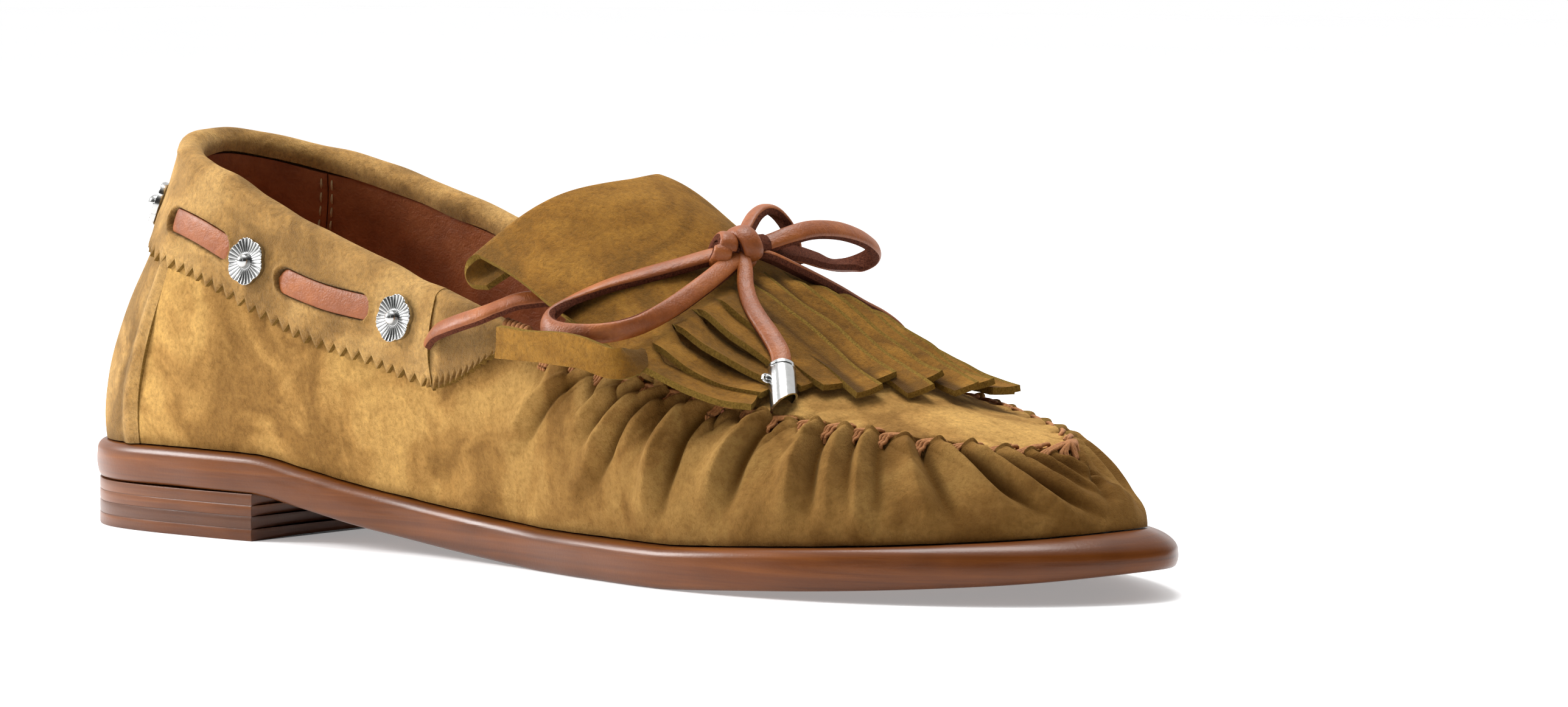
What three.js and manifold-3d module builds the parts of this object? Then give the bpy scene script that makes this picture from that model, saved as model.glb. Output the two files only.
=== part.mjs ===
// A woman's suede moccasin loafer with a fringed kiltie flap, a leather bow, metal flower conchos,
// a gathered whip-stitched toe seam and a leather sole with a low stacked heel.
// Right shoe. Millimetres, +Z up, +X towards the toe, +Y towards the inner (medial) side of the foot.
// Everything is first laid out with X = 0 at the back of the heel, and the whole shoe is then moved
// so that its origin is at the middle of its footprint, on the floor.
import * as THREE from 'three';
import { mergeVertices } from 'three/addons/utils/BufferGeometryUtils.js';
import Module from 'manifold-3d';

const wasm = await Module();
wasm.setup();

// ---------------------------------------------------------------- driving dimensions
const GAP = 0.3;                  // space kept between touching pieces
const ORIGIN = [134.25, -0.3, 0]; // middle of the footprint in the layout frame

const OUTSOLE_THICK = 4.5;
const WELT_THICK = 3.0;
const HEEL_HEIGHT = 9.5;
const HEEL_INSET = 0.7;
const LIFT_TOPS = [2.3, 4.7, 7.0, 9.2];   // top of the top piece and of the three lifts
const NAIL_PLACES = [[18, -9], [18, 9], [44, -13], [44, 13]];
const NAIL_RADIUS = 0.9;
const NAIL_HOLE_RADIUS = 1.25;
const RING_WIDTH = 10;            // width of the welt ring seen from above

const SUEDE = 1.3;
const LINING_OUT = 2.9;           // depth of the lining's outer face below the upper's surface
const LINING_IN = 3.9;
const STIFFENER_OUT = 1.75;
const STIFFENER_IN = 2.4;
const BAND_OUT = 1.5;             // how far the collar band stands proud of the upper
const BAND_IN = 0.3;
const ROLL_RADIUS = 3.0;
const ROLL_LEG = 0.6;

const LACE_WIDTH = 3.6;
const LACE_THICK = 1.8;
const BAND_LACE_WIDTH = 4.4;      // the lace lies flatter where it runs inside the collar
const AGLET_LENGTH = 11.5;
const AGLET_RADIUS = 2.6;
const CONCHO_RADIUS = 4.9;

// Sole edge seen from above, counted from the back of the heel along the lateral side,
// round the toe (place 14) and back along the medial side. Places are evenly numbered 0 to 28.
const EDGE = [
  [0, 0], [5, -15.5], [20, -26.5], [45, -29.6], [75, -29.4], [105, -29.0], [135, -32.6],
  [160, -39.2], [185, -44.2], [208, -44.2], [228, -39.4], [244, -31.2], [257, -21], [265.5, -9.5],
  [268.5, 1.5], [264.5, 10.5], [256, 19.5], [243, 29.5], [227, 38], [207, 43.5], [183, 43.5],
  [158, 37.8], [133, 31], [103, 27.4], [73, 28.4], [44, 29.2], [19.5, 26.2], [5, 15.4],
];
// Top line of the upper at the same places: the collar at the back, the toe seam in front.
const TOP = [
  [24, 0, 79.2], [27, -11.4, 78], [36.5, -20.6, 75], [51, -25.2, 71.4], [76, -26.5, 61.8], [104, -28, 53.4],
  [130, -31, 46.2], [153, -32.5, 39.4], [176, -32, 35.6], [197, -28.5, 31.6], [215, -23.5, 29.6],
  [229, -17.5, 27.5], [238.5, -11, 26.2], [244.5, -3.8, 25.7], [246, 3, 25.8], [242.5, 9, 26.6],
  [235, 15.5, 27.6], [224, 21.5, 29], [210, 27, 31], [193, 30.5, 33.2], [174, 32, 36.4], [152, 32, 40.2],
  [129, 30.5, 47.8], [102, 27.5, 56.2], [74, 26.5, 65.2], [49, 25, 72.1], [35, 20.6, 75], [26.8, 11.6, 77.7],
];
const PLACES = EDGE.length;
const TOE = PLACES / 2;

// Values along the length of the shoe, as [x, value] knots.
const SOLE_UNDERSIDE = [[0, 9.5], [62, 9.5], [76, 7.4], [90, 5], [105, 3.1], [120, 1.6], [137, 0.4], [152, -0.2],
  [168, -0.2], [184, 0.0], [205, 1.1], [225, 2.1], [242, 3.1], [256, 4.2], [270, 6]];
const INSTEP_RIDGE = [[120, 68.5], [132, 66.2], [140, 64.2], [150, 61.4], [160, 57.6], [170, 53.4], [185, 46.4],
  [200, 39.8], [215, 34.4], [230, 30.2], [246, 26.6]];
const SEAM_START = 6.75;          // place where the toe seam begins behind each side of the flap
const LACE_DROP = [[0, 10.5], [62, 10.5], [84, 9.2], [104, 6.4], [116, 7.4]];
const PINKED_DROP = [[0, 18.7], [80, 18.7], [96, 17.2], [140, 14.5]];

// ---------------------------------------------------------------- small maths
const { Vector3 } = THREE;
const lerp = THREE.MathUtils.lerp;
const clamp = THREE.MathUtils.clamp;
const mix = (a, b, t) => a.map((value, axis) => lerp(value, b[axis], t));
const add = (a, b, scale = 1) => a.map((value, axis) => value + b[axis] * scale);
const unit = (a) => new Vector3(...a).normalize().toArray();
const cross = (a, b) => new Vector3(...a).cross(new Vector3(...b)).toArray();
const minus = (a, b) => a.map((value, axis) => value - b[axis]);

// Catmull-Rom curve through a list of points, at a place counted in points.
function through(points, place, closed = false) {
  const n = points.length;
  const at = (i) => (closed ? points[((i % n) + n) % n] : points[clamp(i, 0, n - 1)]);
  const i = closed ? Math.floor(place) : clamp(Math.floor(place), 0, n - 2);
  const t = place - i;
  return at(i).map((_, axis) => {
    const [a, b, c, d] = [at(i - 1)[axis], at(i)[axis], at(i + 1)[axis], at(i + 2)[axis]];
    return b + 0.5 * t * (c - a + t * (2 * a - 5 * b + 4 * c - d + t * (3 * (b - c) + d - a)));
  });
}

// Smooth value at x between [x, value] knots.
function along(knots, x) {
  const last = knots.length - 1;
  let i = knots.findIndex((knot) => knot[0] > x) - 1;
  if (x <= knots[0][0]) return knots[0][1];
  if (i < 0) return knots[last][1];
  i = Math.min(i, last - 1);
  const slope = (k) => {
    const [a, b] = [knots[Math.max(k - 1, 0)], knots[Math.min(k + 1, last)]];
    return (b[1] - a[1]) / (b[0] - a[0]);
  };
  const width = knots[i + 1][0] - knots[i][0];
  const t = (x - knots[i][0]) / width;
  const [h1, h2] = [t * t * (3 - 2 * t), t * (1 - t)];
  return lerp(knots[i][1], knots[i + 1][1], h1)
    + h2 * width * (slope(i) * (1 - t) - slope(i + 1) * t);
}

// Places of the shared grid between two ends, so that nested shells have their corners at the same places.
const GRID_STEP = 0.5;
function gridPlaces(from, to) {
  const first = Math.floor(from / GRID_STEP + 0.2) + 1;
  const last = Math.ceil(to / GRID_STEP - 0.2) - 1;
  const inside = Array.from({ length: last - first + 1 }, (_, i) => (first + i) * GRID_STEP);
  return [from, ...inside, to];
}

const range = (count, from, to) => Array.from({ length: count + 1 }, (_, i) => lerp(from, to, i / count));

// ---------------------------------------------------------------- solids from sections
// Each section is { outer, inner }: two rows of points of equal length, which together go once round it.
function loft(sections, closed = false) {
  const ring = sections[0].outer.length * 2;
  const points = sections.flatMap(({ outer, inner }) => [...outer, ...[...inner].reverse()]);
  const faces = [];
  const quad = (a, b, c, d) => faces.push(a, b, c, a, c, d);
  const spans = closed ? sections.length : sections.length - 1;
  for (let i = 0; i < spans; i += 1) {
    const [here, next] = [i * ring, ((i + 1) % sections.length) * ring];
    for (let j = 0; j < ring; j += 1) {
      const k = (j + 1) % ring;
      quad(here + j, next + j, next + k, here + k);
    }
  }
  if (!closed) {
    const end = (sections.length - 1) * ring;
    for (let j = 0; j < ring / 2 - 1; j += 1) {
      const [a, b, c, d] = [j, j + 1, ring - 2 - j, ring - 1 - j];
      quad(a, b, c, d);
      quad(end + d, end + c, end + b, end + a);
    }
  }
  return fromFaces(points, faces);
}

function fromFaces(points, faces) {
  const volume = faces.reduce((sum, _, i) => {
    if (i % 3) return sum;
    const [a, b, c] = [points[faces[i]], points[faces[i + 1]], points[faces[i + 2]]];
    return sum + new Vector3(...a).dot(new Vector3(...b).cross(new Vector3(...c)));
  }, 0);
  const geometry = new THREE.BufferGeometry();
  geometry.setAttribute('position', new THREE.Float32BufferAttribute(points.flat(), 3));
  geometry.setIndex(volume > 0 ? faces : faces.map((_, i) => faces[i - (i % 3) + [0, 2, 1][i % 3]]));
  return geometry;
}

function toSolid(geometry) {
  const plain = geometry.clone();
  plain.deleteAttribute('normal');
  plain.deleteAttribute('uv');
  const merged = mergeVertices(plain, 1e-4);
  return new wasm.Manifold(new wasm.Mesh({
    numProp: 3,
    vertProperties: merged.attributes.position.array,
    triVerts: Uint32Array.from(merged.index.array),
  }));
}

function cutFrom(geometry, cutters) {
  const mesh = cutters.reduce((solid, cutter) => solid.subtract(toSolid(cutter)), toSolid(geometry)).getMesh();
  const result = new THREE.BufferGeometry();
  result.setAttribute('position', new THREE.Float32BufferAttribute(mesh.vertProperties, mesh.numProp));
  result.setIndex(Array.from(mesh.triVerts));
  return result;
}

// ---------------------------------------------------------------- the shape of the shoe
const edgeAt = (place) => through(EDGE, place, true);
const topAt = (place) => through(TOP, place, true);
const underside = (x) => Math.max(0, along(SOLE_UNDERSIDE, x));
const featherZ = (x) => underside(x) + OUTSOLE_THICK + GAP + WELT_THICK;

function outward(place) {
  const [a, b] = [edgeAt(place - 0.05), edgeAt(place + 0.05)];
  return unit([-(b[1] - a[1]), b[0] - a[0], 0]).map((value) => -value);
}
const insetEdge = (place, inset) => add([...edgeAt(place), 0], outward(place), -inset);

// 0 at the heel, 1 from the ball of the foot to the toe.
const forward = (place) => THREE.MathUtils.smoothstep(TOE - Math.abs(TOE - mod(place)), 4.5, 8.5);
const mod = (place) => ((place % PLACES) + PLACES) % PLACES;
const nearToe = (place) => THREE.MathUtils.smoothstep(TOE - Math.abs(TOE - mod(place)), 9.5, 13.5);
const nearHeel = (place) => 1 - THREE.MathUtils.smoothstep(TOE - Math.abs(TOE - mod(place)), 0.5, 3.2);

// Outer surface of the upper: up from the welt at v = 0 to the top line at v = 1.
function upperPoint(place, v) {
  const out = outward(place);
  const base = insetEdge(place, lerp(2, 4.3, forward(place)) + 1.4 * nearToe(place));
  base[2] = featherZ(base[0]) + GAP;
  const top = topAt(place);
  const height = top[2] - base[2];
  const lowBulge = lerp(lerp(3, 2.6, forward(place)), lerp(3, 0, nearToe(place)), Math.max(nearHeel(place), nearToe(place)));
  const highBulge = lerp(lerp(3.4, 6.5, forward(place)), lerp(3, 7, nearToe(place)), Math.max(nearHeel(place), nearToe(place)));
  const low = add(add(base, out, lowBulge), [0, 0, 1], height * 0.36);
  const high = add(add(top, out, highBulge), [0, 0, -1], height * lerp(0.34, 0.14, forward(place)));
  const a = mix(base, low, v);
  const b = mix(low, high, v);
  const c = mix(high, top, v);
  return mix(mix(a, b, v), mix(b, c, v), v);
}

function upperNormal(place, v) {
  const [v0, v1] = [Math.max(v - 0.02, 0), Math.min(v + 0.02, 1)];
  const lengthwise = minus(upperPoint(place + 0.05, v), upperPoint(place - 0.05, v));
  const upwards = minus(upperPoint(place, v1), upperPoint(place, v0));
  return unit(cross(lengthwise, upwards));
}

// Point of the upper moved out along its own normal; negative offsets lie inside.
const upper = (place, v, offset = 0) => add(upperPoint(place, v), upperNormal(place, v), offset);

// The v at which the upper is the given distance below its top line.
function below(place, drop) {
  const wanted = topAt(place)[2] - drop;
  let [low, high] = [0, 1];
  for (let i = 0; i < 24; i += 1) {
    const middle = (low + high) / 2;
    if (upperPoint(place, middle)[2] < wanted) low = middle;
    else high = middle;
  }
  return (low + high) / 2;
}
const laceV = (place) => below(place, along(LACE_DROP, topAt(place)[0]));
const pinkedV = (place) => below(place, along(PINKED_DROP, topAt(place)[0]));

// Shell over part of the upper, between two offsets; low and high give its v at each place.
function upperShell(places, rows, low, high, outerOffset, innerOffset, closed = false) {
  return loft(places.map((place) => {
    const row = (offset) => range(rows, low(place), high(place)).map((v) => upper(place, v, offset));
    return { outer: row(outerOffset), inner: row(innerOffset) };
  }), closed);
}

// Instep: the surface between the two sides of the toe seam; across runs -1 (lateral) to 1 (medial).
function instep(place, across, offset = 0) {
  const surface = (p, a) => {
    const [left, right] = [topAt(p), topAt(PLACES - p)];
    const point = mix(left, right, (a + 1) / 2);
    const ridge = along(INSTEP_RIDGE, (left[0] + right[0]) / 2) - (left[2] + right[2]) / 2;
    point[2] += Math.max(ridge, 0.6) * (1 - Math.abs(a) ** lerp(1.6, 2, nearToe(p)));
    return point;
  };
  const lengthwise = minus(surface(place + 0.05, across), surface(place - 0.05, across));
  const crosswise = minus(surface(place, across + 0.02), surface(place, across - 0.02));
  return add(surface(place, across), unit(cross(lengthwise, crosswise)), offset);
}

function instepShell(places, columns, halfWidth, outerOffset, innerOffset) {
  return loft(places.map((place) => {
    const reach = halfWidth(place);
    const row = (offset) => range(columns, -reach, reach).map((across) => instep(place, across, offset));
    return { outer: row(outerOffset), inner: row(innerOffset) };
  }));
}

// Flat-lying layer of the sole between two inset outlines and two heights above the floor.
function soleSlab(places, inset, bottom, top) {
  return loft(places.map((place) => {
    const lateral = insetEdge(place, inset(place));
    const medial = insetEdge(PLACES - place, inset(place));
    const at = (point, height) => [point[0], point[1], height(point[0])];
    return {
      outer: [at(lateral, top), at(medial, top)],
      inner: [at(lateral, bottom), at(medial, bottom)],
    };
  }));
}

// Flat strap along a curve, with rounded edges; its broad side runs in the direction widthwise.
function strap(points, widthwise, steps = 16) {
  const last = points.length - 1;
  return loft(range(steps, 0, last).map((place) => {
    const centre = through(points, place);
    const [behind, ahead] = [Math.max(place - 0.02, 0), Math.min(place + 0.02, last)];
    const tangent = unit(minus(through(points, ahead), through(points, behind)));
    const up = unit(cross(widthwise, tangent));
    const side = unit(cross(tangent, up));
    const at = (across, high) => add(add(centre, side, across * LACE_WIDTH / 2), up, high * LACE_THICK / 2);
    return {
      outer: [at(-1, 0), at(-0.72, 1), at(0.72, 1)],
      inner: [at(-0.72, -1), at(0.72, -1), at(1, 0)],
    };
  }));
}

// Turned piece standing on a point, its axis along a direction.
function turned(profile, at, direction, segments = 16) {
  const geometry = new THREE.LatheGeometry(profile.map(([r, z]) => new THREE.Vector2(r, z)), segments);
  const turn = new THREE.Quaternion().setFromUnitVectors(new Vector3(0, 1, 0), new Vector3(...unit(direction)));
  geometry.applyQuaternion(turn);
  geometry.translate(...at);
  return cutFrom(geometry, []);
}

// ---------------------------------------------------------------- finishes
const finish = (color, roughness, metalness = 0) => new THREE.MeshStandardMaterial({ color, roughness, metalness });
const FINISHES = {
  suede: () => finish('#a8722e', 0.95),
  kiltie_suede: () => finish('#8f6527', 0.95),
  lace: () => finish('#b06a45', 0.5),
  lining: () => finish('#8a4a2a', 0.6),
  sole: () => finish('#8c4526', 0.35),
  board: () => finish('#b59a72', 0.9),
  cork: () => finish('#b98a58', 0.95),
  stiffener: () => finish('#d8cdb8', 0.85),
  foam: () => finish('#e6dcc0', 0.95),
  steel: () => finish('#9a9da0', 0.4, 1),
  chrome: () => finish('#d4d6d8', 0.15, 1),
  thread: () => finish('#a8603c', 0.7),
};

const shoe = new THREE.Group();
const layout = new THREE.Group();
layout.position.set(-ORIGIN[0], -ORIGIN[1], -ORIGIN[2]);
shoe.add(layout);

function piece(name, geometry, finishName) {
  const mesh = new THREE.Mesh(geometry, FINISHES[finishName]());
  mesh.name = name;
  layout.add(mesh);
  return mesh;
}

// ---------------------------------------------------------------- sole and heel
const HALF_PLACES = range(32, 0.06, TOE - 0.06);
const ALL_AROUND = range(64, 0, PLACES).slice(0, -1);
const BREAST_PLACE = 3.61;       // where the sole's edge passes the heel breast
const heelPlaces = range(9, 0.06, BREAST_PLACE);

function heelLayer(bottom, top) {
  return soleSlab(heelPlaces, () => HEEL_INSET, () => bottom, () => top);
}

const nailHoles = () => NAIL_PLACES.map(([x, y]) => {
  const hole = new THREE.CylinderGeometry(NAIL_HOLE_RADIUS, NAIL_HOLE_RADIUS, 20, 8);
  hole.rotateX(Math.PI / 2);
  hole.translate(x, y, 12.4);
  return hole;
});

function buildSole() {
  const outsole = soleSlab(HALF_PLACES, () => 0, underside, (x) => underside(x) + OUTSOLE_THICK);
  piece('outsole', cutFrom(outsole, nailHoles()), 'sole');

  const weltBottom = (x) => underside(x) + OUTSOLE_THICK + GAP;
  const welt = loft(ALL_AROUND.map((place) => {
    const [edge, inner] = [insetEdge(place, 0), insetEdge(place, RING_WIDTH)];
    const round = nearToe(place);
    const lip = insetEdge(place, lerp(2, 4.2, round));
    const shoulder = featherZ(edge[0]) - lerp(1.7, 2.4, round);
    const at = (point, height) => [point[0], point[1], height];
    return {
      outer: [at(edge, weltBottom(edge[0])), at(edge, shoulder), at(lip, featherZ(lip[0]))],
      inner: [at(inner, weltBottom(inner[0])), at(inner, featherZ(inner[0]) - 1.7), at(inner, featherZ(inner[0]))],
    };
  }), true);
  piece('welt', welt, 'sole');

  let bottom = 0;
  LIFT_TOPS.forEach((top, i) => {
    const layer = heelLayer(bottom, top);
    if (i === 0) piece('heel_top_piece', layer, 'sole');
    else piece(`heel_lift_${i}`, cutFrom(layer, nailHoles()), 'sole');
    bottom = top + GAP;
  });

  const headZ = HEEL_HEIGHT + OUTSOLE_THICK + GAP;
  NAIL_PLACES.forEach(([x, y], i) => {
    const profile = [[0, LIFT_TOPS[0] + GAP], [NAIL_RADIUS, LIFT_TOPS[0] + GAP + 1], [NAIL_RADIUS, headZ], [2, headZ],
      [2, headZ + 0.8], [0, headZ + 0.8]];
    piece(`heel_nail_${i + 1}`, turned(profile, [x, y, 0], [0, 0, 1], 8), 'steel');
  });

  const fillerInset = () => RING_WIDTH + 0.4;
  const fillerPlaces = range(18, 7.4, TOE - 1.2);
  piece('cork_filler', soleSlab(fillerPlaces, fillerInset, weltBottom, (x) => featherZ(x)), 'cork');

  const shank = loft(range(12, 50, 138).map((x) => {
    const half = 7.5 - 2 * ((x - 94) / 44) ** 2;
    const base = weltBottom(x) + 0.2;
    return { outer: [[x, -half, base + 1.5], [x, half, base + 1.5]], inner: [[x, -half, base], [x, half, base]] };
  }));
  piece('shank', shank, 'steel');

  const boardInset = (place) => lerp(6.4, 9.4, forward(place)) + nearToe(place);
  const boardPlaces = range(30, 0.1, TOE - 0.5);
  piece('insole_board', soleSlab(boardPlaces, boardInset, (x) => featherZ(x) + GAP, (x) => featherZ(x) + 2), 'board');
  const sockInset = (place) => boardInset(place) + 0.8 + 1.5 * nearToe(place);
  piece('sock_liner', soleSlab(boardPlaces, sockInset, (x) => featherZ(x) + 2.3, (x) => featherZ(x) + 3.4), 'lining');
}

// ---------------------------------------------------------------- upper
const BACK_STRIP_END = 2.3;       // the back strip reaches this place on each side of the heel
const LINING_JOIN = 2.5;
const BAND_END = 5.42;
const TAB_END = 6.4;
const RISE_START = 5.5;            // where the upper's edge comes up from under the collar band to the top line
const RISE_END = 6.3;

// The upper leather tucks just under the collar band, and its free edge is the top line in front.
const upperEdge = (place) => {
  const side = TOE - Math.abs(TOE - mod(place));
  const share = THREE.MathUtils.smoothstep(side, RISE_START, RISE_END);
  return lerp(below(place, along(PINKED_DROP, topAt(place)[0]) - 4), 1, share);
};

// Section of the collar band: up from its pinked edge, over the roll and down inside.
function bandSection(place, low = pinkedV(place)) {
  const path = (offset, radius) => {
    const points = range(4, low, 1).map((v) => upper(place, v, offset));
    const [top, normal] = [upperPoint(place, 1), upperNormal(place, 1)];
    const upwards = unit(minus(top, upperPoint(place, 0.97)));
    const centre = add(top, normal, BAND_OUT - ROLL_RADIUS);
    const around = range(4, 0, Math.PI).slice(1)
      .map((angle) => add(add(centre, normal, radius * Math.cos(angle)), upwards, radius * Math.sin(angle)));
    const leg = add(add(centre, normal, -radius), upwards, -ROLL_LEG);
    return [...points, ...around, leg];
  };
  return { outer: path(BAND_OUT, ROLL_RADIUS), inner: path(BAND_IN, ROLL_RADIUS - (BAND_OUT - BAND_IN)) };
}

// Opening through the band where the lace shows, between two places.
function laceWindow(from, to) {
  return loft(range(6, from, to).map((place, i) => {
    const half = (BAND_LACE_WIDTH / 2 + 0.35) * (i % 6 ? 1 : 0.6);
    const [low, high] = [below(place, along(LACE_DROP, topAt(place)[0]) + half), below(place, along(LACE_DROP, topAt(place)[0]) - half)];
    return { outer: [upper(place, low, 4), upper(place, high, 4)], inner: [upper(place, low, -0.6), upper(place, high, -0.6)] };
  }));
}

// Lateral windows and the same ones mirrored to the medial side, as pairs of places.
const WINDOWS = [[2.2, 3.3], [3.82, 4.75]];
const BACK_WINDOW = [-0.88, 0.88];
const mirrored = (pairs) => pairs.map(([from, to]) => [-to, -from]);
const ALL_WINDOWS = [BACK_WINDOW, ...WINDOWS, ...mirrored(WINDOWS)];

function buildUpper() {
  const front = gridPlaces(BACK_STRIP_END + 0.03, PLACES - BACK_STRIP_END - 0.03);
  piece('upper_wrap', upperShell(front, 5, () => 0, upperEdge, 0, -SUEDE), 'suede');
  const back = gridPlaces(-BACK_STRIP_END, BACK_STRIP_END);
  piece('back_strip', upperShell(back, 5, () => 0, upperEdge, 0, -SUEDE), 'suede');

  const conchoHoles = CONCHO_PLACES.map((place) => {
    const at = upper(place, laceV(place), -0.2);
    return turned([[0, 0], [1.3, 0], [1.3, 3], [0, 3]], at, upperNormal(place, laceV(place)), 10);
  });
  const band = loft(gridPlaces(-BAND_END, BAND_END).map((place) => bandSection(place)));
  const windows = ALL_WINDOWS.map(([from, to]) => laceWindow(from, to));
  piece('collar_band', cutFrom(band, [...windows, ...conchoHoles]), 'suede');

  const foam = loft(gridPlaces(-BAND_END + 0.1, BAND_END - 0.1).map((place) => {
    const [top, normal] = [upperPoint(place, 1), upperNormal(place, 1)];
    const upwards = unit(minus(top, upperPoint(place, 0.97)));
    const centre = add(top, normal, BAND_OUT - ROLL_RADIUS);
    const at = (degrees) => add(add(centre, normal, 1.4 * Math.cos(degrees * Math.PI / 180)), upwards,
      1.4 * Math.sin(degrees * Math.PI / 180));
    return { outer: [at(0), at(60), at(120)], inner: [at(-60), at(-120), at(180)] };
  }));
  piece('collar_foam', foam, 'foam');

  piece('heel_counter', upperShell(gridPlaces(-4, 4), 4, () => 0.03, () => 0.5, -STIFFENER_OUT, -STIFFENER_IN), 'stiffener');
  piece('toe_puff', upperShell(gridPlaces(10.8, 17.2), 3, () => 0.06, () => 0.62, -STIFFENER_OUT, -STIFFENER_IN), 'stiffener');

  const liningTop = (place) => below(place, ROLL_LEG + 1.6);
  const heelLining = gridPlaces(-LINING_JOIN, LINING_JOIN);
  piece('heel_lining', upperShell(heelLining, 4, () => 0.01, liningTop, -LINING_OUT, -LINING_IN), 'lining');
  const vampTop = (place) => {
    const side = TOE - Math.abs(TOE - mod(place));
    return lerp(liningTop(place), 0.93, THREE.MathUtils.smoothstep(side, TAB_END, SEAM_START));
  };
  const vampLining = gridPlaces(LINING_JOIN + 0.03, PLACES - LINING_JOIN - 0.03);
  piece('vamp_lining', upperShell(vampLining, 4, () => 0.01, vampTop, -LINING_OUT, -LINING_IN), 'lining');

  [['lateral', 1], ['medial', -1]].forEach(([side, sign]) => {
    // Its lower edge rises towards the front.
    const sections = range(6, BAND_END + 0.03, TAB_END).map((place) => {
      const rise = 0.3 * ((place - BAND_END) / (TAB_END - BAND_END)) ** 1.7;
      return bandSection(sign * place, Math.min(pinkedV(sign * place) + rise, 0.92));
    });
    piece(`eyestay_${side}`, loft(sections), 'suede');
  });
}

// ---------------------------------------------------------------- instep, seam, tongue and kiltie
// How far across the instep a piece reaches when it stops short of the toe seam by a gap.
const seamReach = (gap) => (place) => {
  const along2d = minus(topAt(place + 0.05), topAt(place - 0.05));
  const slant = Math.abs(along2d[0]) / Math.hypot(along2d[0], along2d[1]);
  return Math.max(1 - 2 * gap / (topAt(PLACES - place)[1] - topAt(place)[1]) / slant, 0.1);
};

function buildInstep() {
  const apronPlaces = range(16, SEAM_START, TOE - 1.25);
  piece('apron', instepShell(apronPlaces, 8, seamReach(5.1), 0, -SUEDE), 'suede');
  piece('apron_lining', instepShell(apronPlaces.slice(0, -1), 8, seamReach(5.8), -1.7, -2.5), 'lining');

  const cordReach = seamReach(2.8);
  const lateralCord = range(30, SEAM_START, TOE - 0.9).map((place) => instep(place, -cordReach(place), -0.2));
  const medialCord = range(30, TOE - 0.9, SEAM_START).map((place) => instep(place, cordReach(place), -0.2));
  const cord = [...lateralCord, add(topAt(TOE), [-2.9, 0, 0.3]), ...medialCord];
  piece('seam_cord', tube(cord, 1.0, 64, 6), 'thread');

  const tongue = loft(range(6, 6.5, 7.3).map((place) => {
    const lift = 0.3;
    const row = (offset) => range(8, -0.33, 0.33).map((across) => instep(place, across, offset));
    return { outer: row(lift + 1), inner: row(lift) };
  }));
  piece('tongue', tongue, 'suede');
}

// Round tube along a list of points.
function tube(points, radius, steps, sides) {
  const curve = new THREE.CatmullRomCurve3(points.map((point) => new Vector3(...point)));
  const circle = new THREE.Shape();
  range(sides, 0, 2 * Math.PI).slice(0, -1).forEach((angle, i) => {
    const [x, y] = [radius * Math.cos(angle), radius * Math.sin(angle)];
    if (i === 0) circle.moveTo(x, y);
    else circle.lineTo(x, y);
  });
  return new THREE.ExtrudeGeometry(circle, { steps, extrudePath: curve, curveSegments: 1 });
}

// The kiltie flap's outer surface: q runs forward from the fold (0) to the roots of the fringe (1),
// p across from the lateral edge (-1) to the medial edge (1).
const FOLD_X = 142;
const FOLD_Z = 74.8;
const RIDGE_Y = [4, 2];           // the instep's ridge lies a little to the medial side, at the fold and at the roots
const FOLD_RADIUS = 4.2;
const ROOT_X = 172;
const ROOT_Z = 57.6;
const FLAP_HALF_WIDTHS = [31, 37.5];
const FLAP_THICK = 1.4;
const arch = (y, slope, round) => slope * (Math.hypot(y, round) - round);

function flap(p, q, offset = 0) {
  const y = p * lerp(FLAP_HALF_WIDTHS[0], FLAP_HALF_WIDTHS[1], q);
  const x = lerp(FOLD_X - 0.72 * arch(y, 1, 8), ROOT_X, q);
  const [foldY, rootY] = RIDGE_Y.map((ridgeY) => y - ridgeY);
  const ridge = lerp(FOLD_Z, ROOT_Z, q) + 8 * q * (1 - q) ** 2;
  const drop = lerp(arch(foldY, 1.2, 32), arch(rootY, 0.46, 9), q);
  return [x, y, ridge - drop + offset];
}

function buildKiltie() {
  // Under leg, round fold and top leg, as one strip from the medial to the lateral side.
  const sections = range(16, -1, 1).map((p) => {
    const crest = flap(p, 0);
    const path = (inset) => {
      const bend = lerp(FOLD_RADIUS, 2.6, p * p);
      const radius = bend - inset;
      const centre = [crest[0], crest[1], crest[2] - bend];
      const legLength = lerp(6, 3, p * p);
      const leg = [1, 0.5].map((share) => [centre[0] + share * legLength, centre[1], centre[2] - radius]);
      const around = range(5, -Math.PI / 2, -1.5 * Math.PI)
        .map((angle) => [centre[0] + radius * Math.cos(angle), centre[1], centre[2] + radius * Math.sin(angle)]);
      const top = range(6, 0, 1).slice(1).map((q) => flap(p, q, -inset));
      return [...leg, ...around, ...top];
    };
    return { outer: path(0), inner: path(FLAP_THICK) };
  });
  piece('kiltie_top', loft(sections), 'kiltie_suede');
}

// Fringe: forward from the roots over the instep, cut into strands.
const FRINGE_LENGTH = 46;         // how far the middle strands reach forward
const STRANDS = 13;

// Height of the instep surface over a point of the floor plan; past the seam it falls away to the vamp.
function instepHeight(x, y) {
  let [low, high] = [6, TOE - 0.3];
  const spotAt = (place) => {
    const [left, right] = [topAt(place), topAt(PLACES - place)];
    const across = (2 * y - left[1] - right[1]) / (right[1] - left[1]);
    return { across, x: lerp(left[0], right[0], clamp((across + 1) / 2, 0, 1)) };
  };
  for (let i = 0; i < 20; i += 1) {
    const middle = (low + high) / 2;
    if (spotAt(middle).x < x) low = middle;
    else high = middle;
  }
  const { across } = spotAt(low);
  const beyond = Math.max(Math.abs(across) - 1, 0);
  return instep(low, clamp(across, -1, 1))[2] - 8 * beyond;
}

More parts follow.
